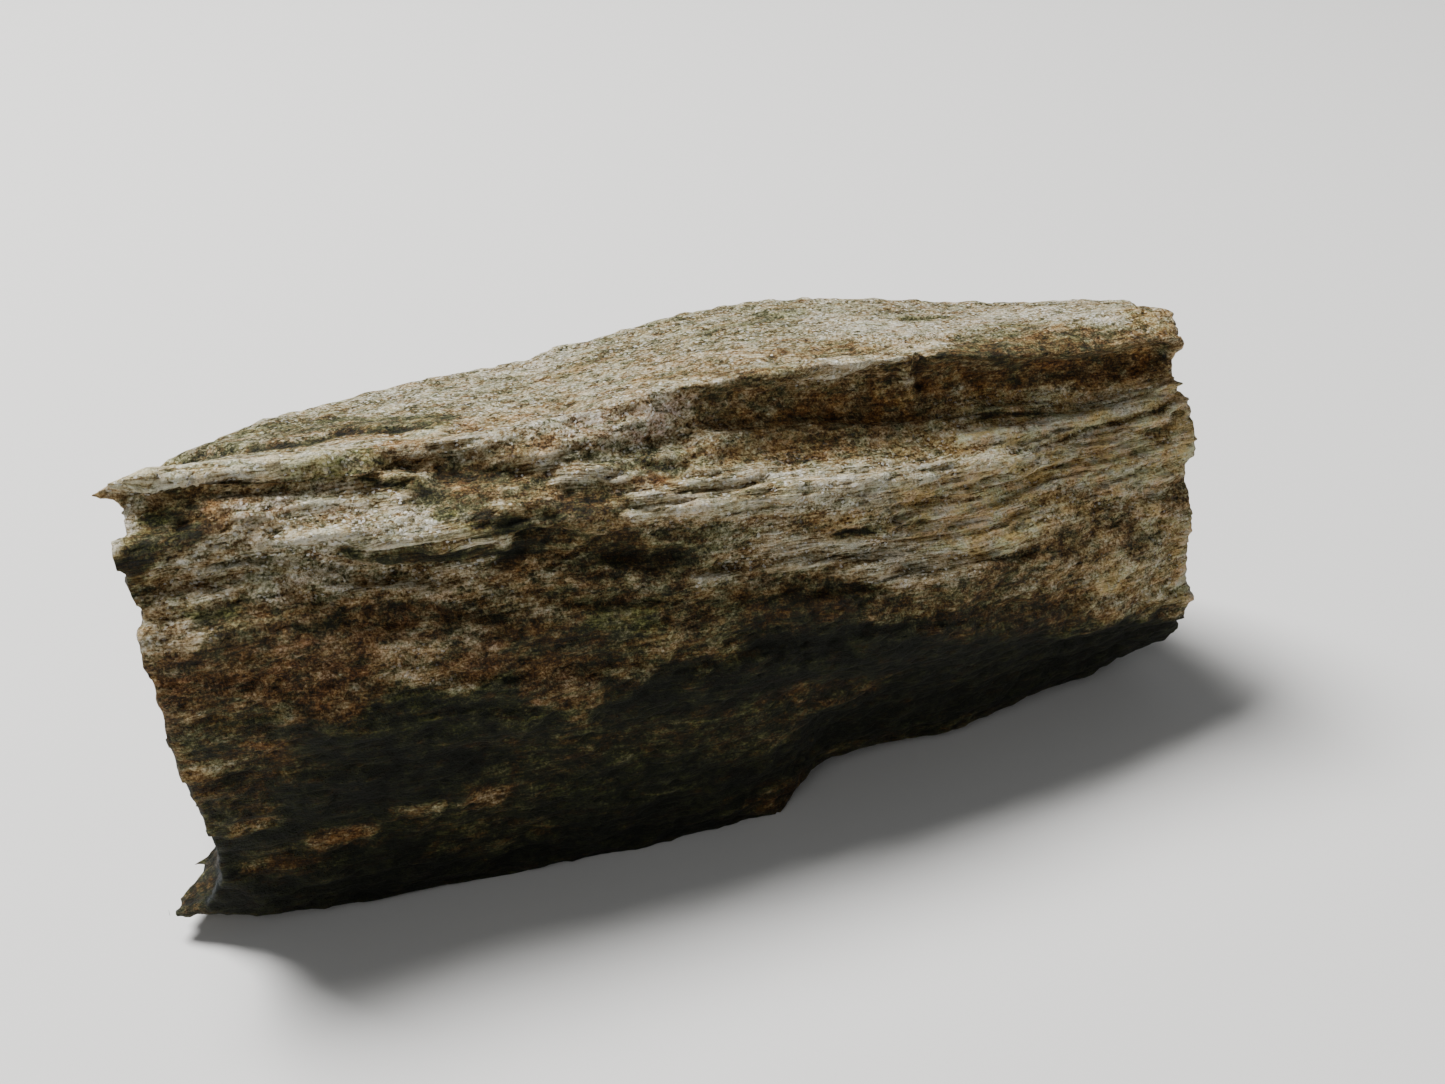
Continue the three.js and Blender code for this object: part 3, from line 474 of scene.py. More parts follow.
    ("rust", 0.22, [(-11.2, -7.3, 5.3), (-10.4, -7.3, 4.9)]),
    ("drab", 0.3, [(-21.7, -6.8, 6.8), (-20.7, -6.8, 6.6), (-19.7, -6.8, 6.5)]),
    ("ochre", 0.22, [(-20.5, -6.6, 6), (-19.7, -6.7, 6.1)]),
    ("shaded_slate", 0.35, [(-21.5, -6.3, 4.9), (-20.2, -6.5, 5.2), (-18.9, -6.6, 5.3)]),
    ("drab", 0.22, [(-20, -6.3, 4.1), (-18.4, -6.4, 4)]),
    ("rust", 0.26, [(-18, -6.5, 4.4), (-17.5, -6.5, 4.6), (-16.6, -6.6, 4.5), (-15.5, -6.6, 4.5)]),
    ("ochre", 0.26, [(-14.3, -7, 5.4), (-12.8, -7.1, 5.1)]),
    ("drab", 0.26, [(-12.2, -7, 4.5), (-10.4, -7.1, 4.4), (-9.2, -7.2, 4.4)]),
    ("peat", 0.43, [(-21.4, -3.1, 1.7), (-19.9, -6.2, 3.7), (-17.6, -6.4, 3.3)]),
    ("ochre", 0.17, [(-20.5, -6.2, 3.6), (-19.9, -6.2, 3.6)]),
    ("shaded_pine", 0.52, [(-18.3, -6.6, 5.1), (-16.5, -6.8, 5.5), (-15.2, -6.7, 4.7)]),
    ("shaded_slate", 0.61, [(-21.2, -6.1, 2.8), (-17.3, -6.5, 2.5), (-12.9, -6.7, 1.9)]),
    ("drab", 0.35, [(-12.8, -6.6, 2.7), (-10.8, -6.7, 2.7), (-8.7, -7, 2.7)]),
    ("shaded_pine", 0.7, [(-7.9, -7.4, 4.6), (-5.4, -7.5, 4.5), (-2.8, -7.5, 4)]),
    ("shaded_slate", 0.96, [(-4.6, -8, 8.6), (-2.1, -8.1, 8.5), (-0.4, -8.3, 8.6)]),
    ("drab", 0.7, [(-4.6, -7.7, 6.7), (-2, -7.9, 6.6), (1.6, -7.8, 6)]),
    ("shaded_slate", 0.87, [(-7.9, -7, 2), (-4.4, -7.1, 1.9), (-0.9, -7.3, 2)]),
    ("peat", 0.43, [(2.1, -7.8, 6.7), (4.1, -7.4, 5.9), (6.3, -6.8, 5.4)]),
    ("peat", 0.26, [(0.3, -7.3, 1.4), (1.7, -6.9, 1), (3.2, -6.3, 0.9)]),
    ("umber", 0.61, [(-0.8, -7.1, 12.2), (0.9, -7.2, 11.9)]),
    ("shaded_slate", 0.96, [(4.6, -8.1, 9.2), (2.3, -8.3, 8.9), (0.5, -8.2, 9.3)]),
    ("shaded_slate", 0.78, [(23.4, -5, 3.4), (18.7, -5.5, 4.2), (13.6, -6.8, 5.9), (9.2, -7.5, 7), (5, -8.2, 8.7)]),
    ("shaded_slate", 0.87, [(18.6, -4.3, 1.8), (13.6, -5.4, 3.2), (8.2, -6, 3.9), (4, -6.8, 4.5)]),
    ("drab", 0.3, [(16.5, -4.1, 1), (13.8, -4.4, 0.8), (10.4, -4.7, 0.5), (5.8, -5.2, 1.2)]),
    # bottom left corner of the end
    ("steel", 0.7, [(-23.3, -3.6, 1), (-22.2, -3.2, 1.3), (-21.5, -1, 2)]),
    # back and far top, the low back painted darker as shade
    ("cleaved", 3.5, [(-18, 4, 17), (-6, 4, 17.5), (8, 4, 17), (20, 4, 16)]),
    ("tan", 2, [(-20, 5.5, 14), (-11, 7, 15), (-4, 7.5, 13.5)]),
    ("brown", 3, [(-18, 7, 10), (-7, 8, 12), (4, 8, 10)]),
    ("russet", 1.5, [(-14, 8, 9), (-9, 8, 8.5)]),
    ("olive", 2, [(2, 7.5, 14), (9, 7, 13)]),
    ("ochre", 2, [(12, 7, 9), (19, 6, 10)]),
    ("tan", 1.5, [(16, 6.5, 13), (21, 5, 12)]),
    ("drab", 2.5, [(-20, 6, 5), (-10, 7.5, 6)]),
    ("shaded_slate", 3, [(-14, 6, 2), (0, 7, 4.5), (10, 6.5, 3)]),
    ("peat", 2, [(13, 6, 5.5), (20, 5, 4)]),
]
# How far the patches' borders are shifted, in radii, and how much less up and down.
PATCH_RAGGED = 1.3
BORDER_SHIFT_UP = 0.5
# How steeply a patch fades beyond its radius, and what is left where all have faded.
PATCH_FALL = 2.2
GROUND_FINISH = "brown"
GROUND_WEIGHT = 1e-4

# Rock from darkest to lightest, as (level, colour); the dark end also carries the painted shade.
WARM_ROCK = [
    (0.05, (0.010, 0.006, 0.001)),
    (0.28, (0.050, 0.026, 0.005)),
    (0.46, (0.170, 0.098, 0.031)),
    (0.62, (0.335, 0.243, 0.118)),
    (0.80, (0.570, 0.475, 0.290)),
    (1.00, (0.780, 0.715, 0.560)),
]
COOL_ROCK = [
    (0.05, (0.005, 0.006, 0.002)),
    (0.28, (0.026, 0.028, 0.010)),
    (0.46, (0.100, 0.098, 0.042)),
    (0.62, (0.262, 0.246, 0.142)),
    (0.80, (0.485, 0.462, 0.335)),
    (1.00, (0.765, 0.742, 0.625)),
]

# The dark of a broken end, as (noise, colour), and how far it covers.
BROKEN_ROCK = [(0.3, (0.012, 0.015, 0.017)), (0.7, (0.070, 0.080, 0.084))]
BROKEN_COVER = 0.75

ROSE_TINT = (1.0, 0.80, 0.92, 1)
GREEN_TINT = (0.80, 0.88, 0.42, 1)
RUST_TINT = (0.98, 0.64, 0.32, 1)
# Painted glint: the pale colour mixed into the glinting flakes, and how much of it.
PAINTED_GLINT_COLOUR = (0.92, 0.90, 0.83, 1)
PAINTED_GLINT_COVER = 0.85

ROCK_SHEEN = 0.25
ROCK_ROUGHNESS = 0.72
GLINT_ROUGHNESS = 0.22
BUMP_DEPTH = 0.28
FLAKE_TILT = 0.6

# ------ light and floor
# Lights: (name, place and size in metres, watts). The floor is in metres too.
LIGHTS = [
    ("key", (-0.10, 0.15, 0.36), 0.16, 3.9),
    ("fill", (-0.25, -0.35, 0.25), 0.3, 0.45),
]
SKY_COLOUR = (0.92, 0.96, 1, 1)
SKY_STRENGTH = 0.11
FLOOR_COLOUR = (0.72, 0.71, 0.69, 1)
FLOOR_ROUGHNESS = 0.85
FLOOR_HALF = 1.5


# ====== helpers
chance = np.random.default_rng(NOISE_SEED)
SHUFFLE = np.tile(chance.permutation(256), 3)
SLOPES = chance.normal(size=(256, 3))
SLOPES /= np.linalg.norm(SLOPES, axis=1)[:, None]


def waves(x, y, z):
    """Smooth noise from about -1 to 1, with humps one unit wide."""
    x, y, z = np.broadcast_arrays(x, y, z)
    cells = [np.floor(axis).astype(int) for axis in (x, y, z)]
    inside = [axis - cell for axis, cell in zip((x, y, z), cells)]
    blends = [part**3 * (part * (part * 6 - 15) + 10) for part in inside]
    total = np.zeros(x.shape)
    for corner in np.ndindex(2, 2, 2):
        index = 0
        for cell, step in zip(cells, corner):
            index = SHUFFLE[index + ((cell + step) & 255)]
        slope = SLOPES[index]
        weight = 1.0
        rise = 0.0
        for axis, step in enumerate(corner):
            weight = weight * (blends[axis] if step else 1 - blends[axis])
            rise = rise + slope[..., axis] * (inside[axis] - step)
        total += weight * rise
    return total * NOISE_GAIN


def eased(value, low, high):
    """0 below low, 1 above high, and a smooth ramp between."""
    part = np.clip((value - low) / (high - low), 0, 1)
    return part * part * (3 - 2 * part)


def humps(places, height, sizes, shift=0.0):
    """Smooth lumps and hollows of these sizes. Each shift gives others."""
    x, y, z = places.T
    return height * waves(x / sizes[0], y / sizes[1], z / sizes[2] + shift)


def wander(first, second, height, sizes, place):
    """Humps of these sizes in two directions, at a place in the noise."""
    return height * waves(first / sizes[0], second / sizes[1], place)


def ridges(places, height, sizes, shift=0.0):
    """Sharp-topped ridges, about evenly above and below zero."""
    return height * (RIDGE_MIDDLE - np.abs(humps(places, 1, sizes, shift)))


def cuts(places, depth, sizes, shift, narrow, wide):
    """Thin winding cuts, of full depth where the noise is within narrow of zero."""
    return depth * (1 - eased(np.abs(humps(places, 1, sizes, shift)), narrow, wide))


def distance_to(line, places):
    """Distance of each place from a line of points, in mm."""
    points = np.array(line, dtype=float)
    if len(points) == 1:
        return np.linalg.norm(places - points[0], axis=1)
    nearest = np.full(len(places), np.inf)
    for start, end in zip(points[:-1], points[1:]):
        run = end - start
        along = np.clip((places - start) @ run / (run @ run), 0, 1)
        reach = np.linalg.norm(places - start - along[:, None] * run, axis=1)
        nearest = np.minimum(nearest, reach)
    return nearest


def nearness(line, radius, places):
    """1 on a line of points, fading to almost nothing two radii away."""
    return np.exp(-((distance_to(line, places) / radius) ** 2))


def marks(entries, places):
    """Sum of soft marks along lines, each as strong as its entry says."""
    total = np.zeros(len(places))
    for line, radius, strength in entries:
        total += strength * nearness(line, radius, places)
    return total


def finish_values(places, ragged):
    """The values of the finish at each place, blended from the patches near it.

    Ragged shifts each place, in patch radii, so that borders run into each other.
    """
    total = np.zeros((len(places), len(FINISH_VALUES)))
    weights = np.zeros((len(places), 1))
    for finish, radius, line in PATCHES:
        reach = distance_to(line, places + radius * ragged) / radius
        weight = ((1 + reach**2) ** -PATCH_FALL / radius)[:, None]
        total += weight * np.array(FINISHES[finish])
        weights += weight
    weights += GROUND_WEIGHT
    return (total + GROUND_WEIGHT * np.array(FINISHES[GROUND_FINISH])) / weights


def smoothed(values, edges, rounds, share=SMOOTH_SHARE):
    """Values moved a share of the way to their neighbours' mean, a number of times."""
    count = len(values)
    columns = values.reshape(count, -1)
    first, second = edges.T
    degree = np.bincount(edges.ravel(), minlength=count)[:, None]
    for _ in range(rounds):
        sums = [
            np.bincount(first, column[second], count) + np.bincount(second, column[first], count)
            for column in columns.T
        ]
        columns = columns + share * (np.stack(sums, 1) / degree - columns)
    return columns.reshape(values.shape)


def relaxed(places, edges, rounds):
    """Places smoothed without drawing in the corners: each round smooths, then swells back."""
    for _ in range(rounds):
        places = smoothed(places, edges, 1)
        places = smoothed(places, edges, 1, SWELL_SHARE)
    return places


# ====== mesh data
def read(items, field, width, kind=float):
    """One field of a mesh's points, edges or normals, as rows of numbers."""
    values = np.empty(len(items) * width, dtype=kind)
    items.foreach_get(field, values)
    return values.reshape(-1, width)


def read_normals(mesh, places):
    """The mesh's normals, once its points are moved to these places, in mm."""
    mesh.vertices.foreach_set("co", (places * MM).ravel())
    mesh.update()
    return read(mesh.vertex_normals, "vector", 3)


def add_values(mesh, name, values):
    kind, field = ("FLOAT_VECTOR", "vector") if values.ndim == 2 else ("FLOAT", "value")
    layer = mesh.attributes.new(name, kind, "POINT")
    layer.data.foreach_set(field, values.astype(np.float32).ravel())


def new_object(name, data):
    """A new object in the scene, made of this data."""
    made = bpy.data.objects.new(name, data)
    bpy.context.scene.collection.objects.link(made)
    return made


# ====== shape
def fine_skin():
    """The CAD stone as a fine skin of even cells: its mesh, its edges, and its points' places in mm."""
    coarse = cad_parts[NODE].data.copy()
    welded = bmesh.new()
    welded.from_mesh(coarse)
    bmesh.ops.remove_doubles(welded, verts=welded.verts, dist=WELD_DISTANCE * MM)
    for vert in welded.verts:
        vert.co.x /= GRAIN_STRETCH
    welded.to_mesh(coarse)
    welded.free()
    draft = new_object("draft", coarse)
    remesh = draft.modifiers.new("remesh", "REMESH")
    remesh.mode = "VOXEL"
    remesh.voxel_size = VOXEL * MM
    shown = draft.evaluated_get(bpy.context.evaluated_depsgraph_get())
    mesh = bpy.data.meshes.new_from_object(shown)
    bpy.data.objects.remove(draft)
    edges = read(mesh.edges, "vertices", 2, np.int32)
    places = relaxed(read(mesh.vertices, "co", 3), edges, SMOOTH_ROUNDS)
    return mesh, edges, places * (GRAIN_STRETCH, 1, 1) / MM


def grain_places(places):
    """Each place along the grain, across it within a sheet, and up through the sheets, in mm."""
    x, y, z = places.T
    across = y * math.cos(SHEET_DIP) - z * math.sin(SHEET_DIP)
    up = z * math.cos(SHEET_DIP) + y * math.sin(SHEET_DIP)
    up = up + SHEET_SINK * x - SHEET_TURN_UP * np.maximum(x - TURN_UP_FROM, 0) ** 2
    up += humps(places, height=0.45, sizes=(11, 7, 6))
    up += humps(places, height=0.13, sizes=(3.2, 2.2, 2.2), shift=9)
    return np.stack([x, across, up], 1)


def sheet_edges(grain, pitch, height, shift):
    """Sheets about pitch thick whose upper edges stand out by up to height, here and there."""
    x, across, up = grain.T
    level = up / pitch + wander(x, across, height=0.6, sizes=(5, 4), place=shift)
    sheet = np.floor(level)
    part = level - sheet
    along = x / EDGE_SIZES[0] + sheet * SHEET_STEPS[0]
    here = waves(along, across / EDGE_SIZES[1], sheet * SHEET_STEPS[1] + shift)
    profile = np.where(part < EDGE_AT, (part / EDGE_AT) ** EDGE_RISE, 1 - eased(part, EDGE_AT, 1))
    return height * eased(here, *EDGE_COVER) * (profile - EDGE_MIDDLE)


def fibres(grain):
    """Splinters that run along the grain, with thin cracks between some of them."""
    relief = ridges(grain, height=0.16, sizes=(6, 2.5, 0.6), shift=10)
    relief += ridges(grain, height=0.10, sizes=(2.8, 1.2, 0.34))
    relief += humps(grain, height=0.06, sizes=(1.4, 0.7, 0.2), shift=40)
    return relief - cuts(grain, depth=0.08, sizes=(4, 1.5, 0.7), shift=70, narrow=0.02, wide=0.14)


def grit(places):
    """Lumps and grains, a little longer along the rock than across it, and pits."""
    relief = humps(places, height=0.2, sizes=(4.2, 2.4, 2.2), shift=30)
    relief += humps(places, height=0.15, sizes=(1.4, 0.9, 0.85), shift=20)
    relief += humps(places, height=0.1, sizes=(0.62, 0.46, 0.44), shift=60)
    return relief - cuts(places, depth=0.1, sizes=(1.3, 1.0, 0.95), shift=80, narrow=0.0, wide=0.12)


def top_sheet(places):
    """How far the top stands up behind the front edge of its upper sheet."""
    x, y, _ = places.T
    along, front, height = np.array(TOP_SHEET).T
    behind = y - np.interp(x, along, front) + wander(x, y, height=0.2, sizes=(0.9, 2), place=50.5)
    return np.interp(x, along, height) * eased(behind, 0, TOP_SHEET_SLOPE)


def broken_end(grain):
    """How far the sheets stand in or out where they are broken across."""
    _, across, up = grain.T
    sheet = np.floor(up / END_SHEET + wander(across, up, height=0.5, sizes=(2, 3), place=2.5))
    blocks = wander(sheet * END_SHEET_STEP, across, height=0.16, sizes=(1, 2.4), place=5.5)
    return blocks + wander(up, across, height=0.1, sizes=(0.35, 0.9), place=15.5)


def shaped(mesh, edges, places, streaks):
    """The skin's places with their relief, their places in the grain, and how much end they are.

    Averaging the normals shortens them along sharp edges, so those edges don't splinter.
    """
    normals = smoothed(read_normals(mesh, places), edges, NORMAL_ROUNDS)
    grain = grain_places(places)
    end = eased(np.abs(normals[:, 0]), *END_FACING)
    top = eased(normals[:, 2], *TOP_FACING)
    under = eased(-normals[:, 2], *UNDER_FACING)
    side = (1 - end) * (1 - TOP_CALM * top)
    layers = sheet_edges(grain, pitch=1.15, height=0.34, shift=3.5)
    layers += sheet_edges(grain, pitch=0.47, height=0.24, shift=8.5)
    relief = side * streaks * layers
    relief += top * sheet_edges(grain, pitch=0.28, height=0.08, shift=12.5)
    splintered = FIBRES_ALL + FIBRES_SIDE * side + FIBRES_STREAKED * streaks
    relief += (1 - FIBRES_END_LOSS * end) * splintered * fibres(grain)
    gritty = GRIT_ALL + GRIT_SIDE * side + GRIT_END * end
    relief += (1 - GRIT_STREAKED_LOSS * streaks) * gritty * grit(places)
    relief += eased(smoothed(end, edges, NORMAL_ROUNDS), *BREAK_FACING) * broken_end(grain)
    relief += marks(RAISED, places) - marks(SUNK, places)
    relief += eased(normals[:, 2], *TOP_SHEET_FACING) * top_sheet(places)
    relief *= 1 - under
    moved = places + normals * relief[:, None]
    return np.clip(moved, BOX_LOW, BOX_HIGH), grain, end


def border_shift(places, shift):
    """How far the borders of the finish are shifted, coarsely and finely."""
    coarse = humps(places, height=1, sizes=(2.2, 1.1, 0.9), shift=shift)
    return coarse + humps(places, height=0.7, sizes=(0.9, 0.5, 0.45), shift=shift + 7)


def softened(places, edges, streaked):
    """The skin worn soft, apart from where the rock is streaked, and along its thinnest edges."""
    soft = relaxed(places, edges, SOFT_ROUNDS)
    places = soft + (CRISP_LEAST + (1 - CRISP_LEAST) * streaked[:, None]) * (places - soft)
    for line, radius in WORN:
        worn = nearness(line, radius, places)[:, None]
        places = places + worn * (smoothed(places, edges, SOFT_ROUNDS) - places)
    return places


def make_stone():
    """The stone, with the values on its points that the rock material reads."""
    mesh, edges, crisp = fine_skin()
    shift_along = border_shift(crisp, 0)
    shift_up = BORDER_SHIFT_UP * border_shift(crisp, 20)
    ragged = PATCH_RAGGED * np.stack([shift_along, np.zeros(len(crisp)), shift_up], 1)
    finish = finish_values(crisp, ragged).T
    streaks = finish[FINISH_VALUES.index("streaks")]
    streaked = eased(smoothed(streaks, edges, SMOOTH_ROUNDS), *STREAKS_SHAPED)
    places, grain, end = shaped(mesh, edges, softened(crisp, edges, streaked), streaked)
    normals = read_normals(mesh, places)
    proud = ((places - smoothed(places, edges, PROUD_ROUNDS)) * normals).sum(1)
    add_values(mesh, "grain", grain)
    # Painted light on proud places and painted shade in hollows, read by the rock material.
    add_values(mesh, "relief_light_and_shade", np.clip(proud / PROUD_EDGE, -RAISED_LIMIT, RAISED_LIMIT))
    for name, values in zip(FINISH_VALUES, finish):
        add_values(mesh, name, values)
    add_values(mesh, "broken_face", end)
    mesh.polygons.foreach_set("use_smooth", [True] * len(mesh.polygons))
    mesh.materials.clear()
    mesh.materials.append(rock_material())
    stone = new_object("isua_stone", mesh)
    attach(stone, "root")
    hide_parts(NODE)


# ====== material
class Nodes:
    """Short names for making and joining shader nodes."""

    def __init__(self, material):
        material.use_nodes = True
        self.tree = material.node_tree
        self.shader = self.tree.nodes["Principled BSDF"]

    def put(self, kind, inputs=(), **settings):
        """A new node. Each input is a value, or a socket to link."""
        node = self.tree.nodes.new(kind)
        for name, value in settings.items():
            setattr(node, name, value)
        for key, value in dict(inputs).items():
            self.feed(node.inputs[key], value)
        return node

    def finish(self, name, value):
        """Set or link an input of the shader."""
        self.feed(self.shader.inputs[name], value)

    def feed(self, socket, value):
        if isinstance(value, bpy.types.NodeSocket):
            self.tree.links.new(value, socket)
        else:
            socket.default_value = value

    def value(self, name, output="Fac"):
        """A value stored on the mesh's points."""
        return self.put("ShaderNodeAttribute", attribute_name=name).outputs[output]

    def vector_math(self, operation, first, second=(0, 0, 0)):
        inputs = {0: first, 1: second}
        return self.put("ShaderNodeVectorMath", inputs, operation=operation).outputs["Vector"]

    def scaled(self, vector, scale):
        return self.vector_math("MULTIPLY", vector, scale)

    def noise(self, vector, scale, detail, rough):
        place = self.scaled(vector, scale)
        inputs = {"Vector": place, "Scale": 1.0, "Detail": detail, "Roughness": rough}
        return self.put("ShaderNodeTexNoise", inputs).outputs["Fac"]

    def crystals(self, vector, scale):
        """Cells packed together like grains, each with a colour of its own."""
        inputs = {"Vector": self.scaled(vector, scale), "Scale": 1.0}
        return self.put("ShaderNodeTexVoronoi", inputs).outputs["Color"]

    def parts(self, colour):
        """Three values from 0 to 1."""
        return self.put("ShaderNodeSeparateColor", {"Color": colour}).outputs

    def math(self, operation, first, second=0.0, third=0.0):
        inputs = {0: first, 1: second, 2: third}
        return self.put("ShaderNodeMath", inputs, operation=operation).outputs[0]

    def plus(self, total, value, weight):
        """The total, plus the value times its weight."""
        return self.math("MULTIPLY_ADD", value, weight, total)

    def times(self, first, second):
        return self.math("MULTIPLY", first, second)

    def varied(self, total, noise, weight):
        """The total, made more where the noise is high and less where it is low."""
        return self.plus(total, self.math("SUBTRACT", noise, 0.5), weight)

    def lines(self, noise, width):
        """1 on the winding lines where the noise is at its middle, and 0 off them."""
        return self.ramp(self.math("ABSOLUTE", self.math("SUBTRACT", noise, 0.5)), width, 0.0)

    def ramp(self, value, low, high):
        """0 where value is low, 1 where it is high, and a smooth ramp between."""
        inputs = {"Value": value, "From Min": low, "From Max": high}
        return self.put("ShaderNodeMapRange", inputs, interpolation_type="SMOOTHSTEP").outputs["Result"]

    def colours(self, value, stops):
        node = self.put("ShaderNodeValToRGB", {"Fac": value})
        points = node.color_ramp.elements
        while len(points) < len(stops):
            points.new(0.5)
        for point, (position, colour) in zip(points, stops):
            point.position = position
            point.color = (*colour, 1)
        return node.outputs["Color"]

    def mix(self, factor, first, second, blend="MIX"):
        inputs = {"Factor": factor, "A": first, "B": second}
        return self.put("ShaderNodeMix", inputs, data_type="RGBA", blend_type=blend).outputs["Result"]


def rock_material():
    """Layered mica schist: cream, brown and grey-green streaks, rust stains and glinting flakes, with
    painted light and shade in parts of its finish.
    """
    material = bpy.data.materials.new("rock")
    nodes = Nodes(material)
    grain = nodes.value("grain", "Vector")
    relief_light_and_shade = nodes.value("relief_light_and_shade")
    light, streaked, rust, green, rose = [nodes.value(name) for name in FINISH_VALUES]
    broken_face = nodes.value("broken_face")
    place = nodes.scaled(nodes.put("ShaderNodeTexCoord").outputs["Object"], (1 / MM, 1 / MM, 1 / MM))

    # Scales are in humps or cells per mm: along the grain, across it and up, or along x, y and z.
    lenses = nodes.noise(grain, scale=(0.6, 1.1, 1.6), detail=5, rough=0.65)
    streaks = nodes.noise(grain, scale=(0.24, 1.4, 5.5), detail=6, rough=0.66)
    threads = nodes.noise(grain, scale=(0.6, 4, 17), detail=3, rough=0.6)
    grains = nodes.noise(place, scale=(2.4, 3, 3), detail=5, rough=0.72)
    specks = nodes.noise(place, scale=(9, 11, 11), detail=3, rough=0.75)
    seam = nodes.lines(nodes.noise(grain, scale=(0.3, 1.2, 4.2), detail=2, rough=0.5), width=0.022)
    hair = nodes.lines(nodes.noise(grain, scale=(0.45, 2.4, 9), detail=2, rough=0.5), width=0.03)
    crystals = nodes.parts(nodes.crystals(place, scale=(3.4, 4.6, 4.6)))
    flakes = nodes.crystals(place, scale=(9, 11, 11))
    flake = nodes.parts(flakes)

    # How light the rock is.
    level = nodes.varied(light, lenses, weight=0.7)
    level = nodes.varied(level, streaks, weight=nodes.plus(0.2, streaked, 1.3))
    level = nodes.varied(level, threads, weight=nodes.plus(0.1, streaked, 1.0))
    for line in (seam, hair):
        level = nodes.plus(level, line, weight=nodes.times(streaked, -0.3))
    fine = nodes.varied(0.0, grains, weight=1.2)
    fine = nodes.varied(fine, specks, weight=1.8)
    fine = nodes.varied(fine, crystals[0], weight=0.3)
    fine = nodes.varied(fine, flake[0], weight=0.4)
    fine = nodes.times(fine, nodes.plus(1.0, streaked, -0.62))
    level = nodes.plus(level, fine, weight=nodes.plus(0.2, light, 1.05))
    # Painted light on proud places and painted shade in hollows.
    level = nodes.plus(level, relief_light_and_shade, weight=0.1)

    # How warm it is, and its stains.
    hue = nodes.noise(grain, scale=(0.9, 1.6, 2.6), detail=6, rough=0.75)
    hue = nodes.varied(hue, flake[1], weight=0.1)
    hue = nodes.varied(hue, crystals[1], weight=0.1)
    hue = nodes.plus(hue, nodes.math("SUBTRACT", rust, green), weight=0.14)
    warm = nodes.ramp(hue, low=0.38, high=0.62)
    colour = nodes.mix(warm, nodes.colours(level, COOL_ROCK), nodes.colours(level, WARM_ROCK))
    rosy = nodes.noise(place, scale=(1.0, 1.5, 1.5), detail=6, rough=0.75)
    rosy = nodes.ramp(rosy, low=0.42, high=0.6)
    colour = nodes.mix(nodes.times(rosy, rose), colour, ROSE_TINT, "MULTIPLY")
    mossy = nodes.noise(grain, scale=(0.8, 1.4, 2.2), detail=6, rough=0.7)
    mossy = nodes.ramp(mossy, low=0.38, high=0.58)
    colour = nodes.mix(nodes.times(mossy, green), colour, GREEN_TINT, "MULTIPLY")
    rusty = nodes.noise(place, scale=(0.8, 1.3, 1.3), detail=6, rough=0.7)
    rusty = nodes.ramp(rusty, low=0.38, high=0.6)
    colour = nodes.mix(nodes.times(rusty, rust), colour, RUST_TINT, "MULTIPLY")
    broken_tint = nodes.colours(threads, BROKEN_ROCK)
    colour = nodes.mix(nodes.times(broken_face, BROKEN_COVER), colour, broken_tint)

    # A few flakes glint, where the rock is light and free of rust: their roughness drops, and a painted
    # glint lightens their colour.
    glint = nodes.ramp(flake[2], low=0.92, high=0.96)
    glint = nodes.times(glint, nodes.ramp(light, low=0.45, high=0.8))
    glint = nodes.times(glint, nodes.plus(1.0, rust, -0.9))
    colour = nodes.mix(nodes.times(glint, PAINTED_GLINT_COVER), colour, PAINTED_GLINT_COLOUR)
    nodes.finish("Base Color", colour)
    nodes.finish("Specular IOR Level", ROCK_SHEEN)
    nodes.finish("Roughness", nodes.plus(ROCK_ROUGHNESS, glint, GLINT_ROUGHNESS - ROCK_ROUGHNESS))

    # Bump finer than the mesh, and each flake tilted its own way.
    depth = nodes.plus(nodes.times(threads, 0.5), streaks, weight=0.7)
    depth = nodes.times(depth, nodes.plus(0.1, streaked, 1.1))
    depth = nodes.plus(depth, grains, weight=1.0)
    depth = nodes.plus(depth, specks, weight=0.8)
    bump = nodes.put("ShaderNodeBump", {"Height": depth, "Distance": BUMP_DEPTH * MM})
    tilt = nodes.vector_math("SUBTRACT", flakes, (0.5, 0.5, 0.5))
    tilt = nodes.scaled(tilt, (FLAKE_TILT, FLAKE_TILT, FLAKE_TILT))
    normal = nodes.vector_math("ADD", bump.outputs["Normal"], tilt)
    nodes.finish("Normal", nodes.vector_math("NORMALIZE", normal))
    return material


# ====== camera, floor and light
def make_camera():
    data = bpy.data.cameras.new("camera")
    data.angle = CAMERA_WIDE_ANGLE
    data.clip_start = CAMERA_CLIP
    camera = new_object("camera", data)
    back = Vector((
        math.sin(CAMERA_AZIMUTH) * math.cos(CAMERA_ELEVATION),
        -math.cos(CAMERA_AZIMUTH) * math.cos(CAMERA_ELEVATION),
        math.sin(CAMERA_ELEVATION),
    ))
    camera.location = (Vector(CAMERA_TARGET) + back * CAMERA_DISTANCE) * MM
    camera.rotation_euler = back.to_track_quat("Z", "Y").to_euler()
    bpy.context.scene.camera = camera


def area_light(name, place, size, watts):
    data = bpy.data.lights.new(name, "AREA")
    data.size = size
    data.energy = watts
    light = new_object(name, data)
    light.location = place
    aim = Vector(place) - Vector(CAMERA_TARGET) * MM
    light.rotation_euler = aim.to_track_quat("Z", "Y").to_euler()


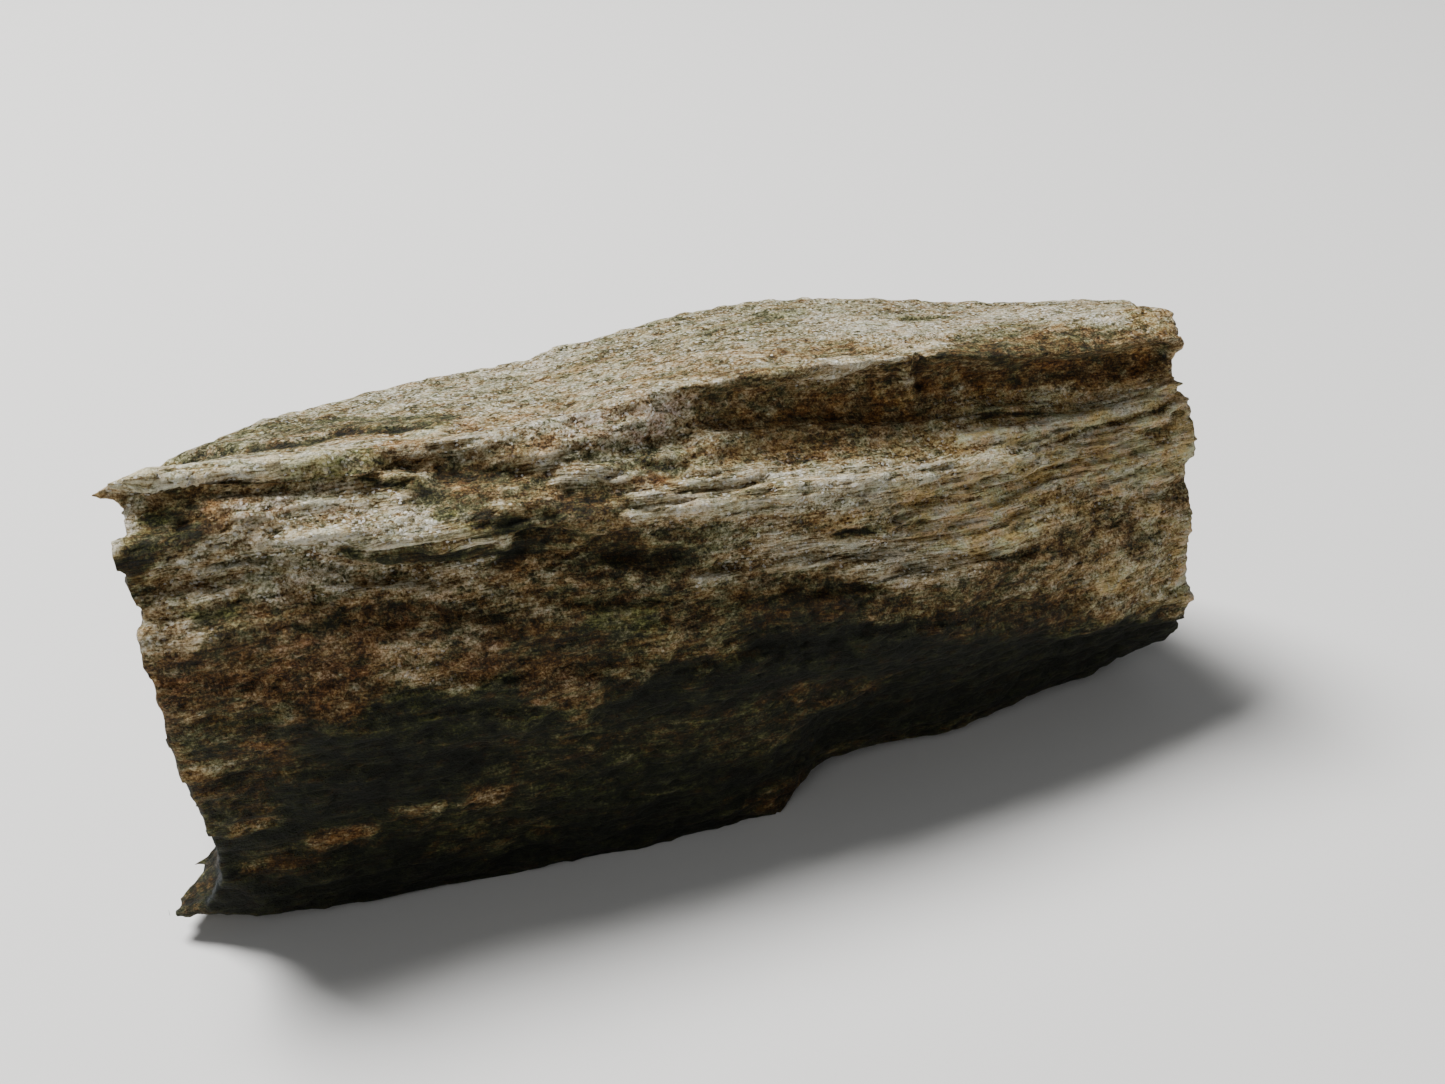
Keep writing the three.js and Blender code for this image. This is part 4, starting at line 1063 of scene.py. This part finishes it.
def make_floor():
    mesh = bpy.data.meshes.new("floor")
    corners = ((-1, -1), (1, -1), (1, 1), (-1, 1))
    mesh.from_pydata([(FLOOR_HALF * x, FLOOR_HALF * y, 0) for x, y in corners], [], [(0, 1, 2, 3)])
    material = bpy.data.materials.new("floor")
    nodes = Nodes(material)
    nodes.finish("Base Color", FLOOR_COLOUR)
    nodes.finish("Roughness", FLOOR_ROUGHNESS)
    mesh.materials.append(material)
    new_object("floor", mesh)


def make_sky():
    world = bpy.data.worlds.new("sky")
    world.use_nodes = True
    inputs = world.node_tree.nodes["Background"].inputs
    inputs["Color"].default_value = SKY_COLOUR
    inputs["Strength"].default_value = SKY_STRENGTH
    bpy.context.scene.world = world


make_camera()
make_stone()
make_floor()
make_sky()
for light in LIGHTS:
    area_light(*light)
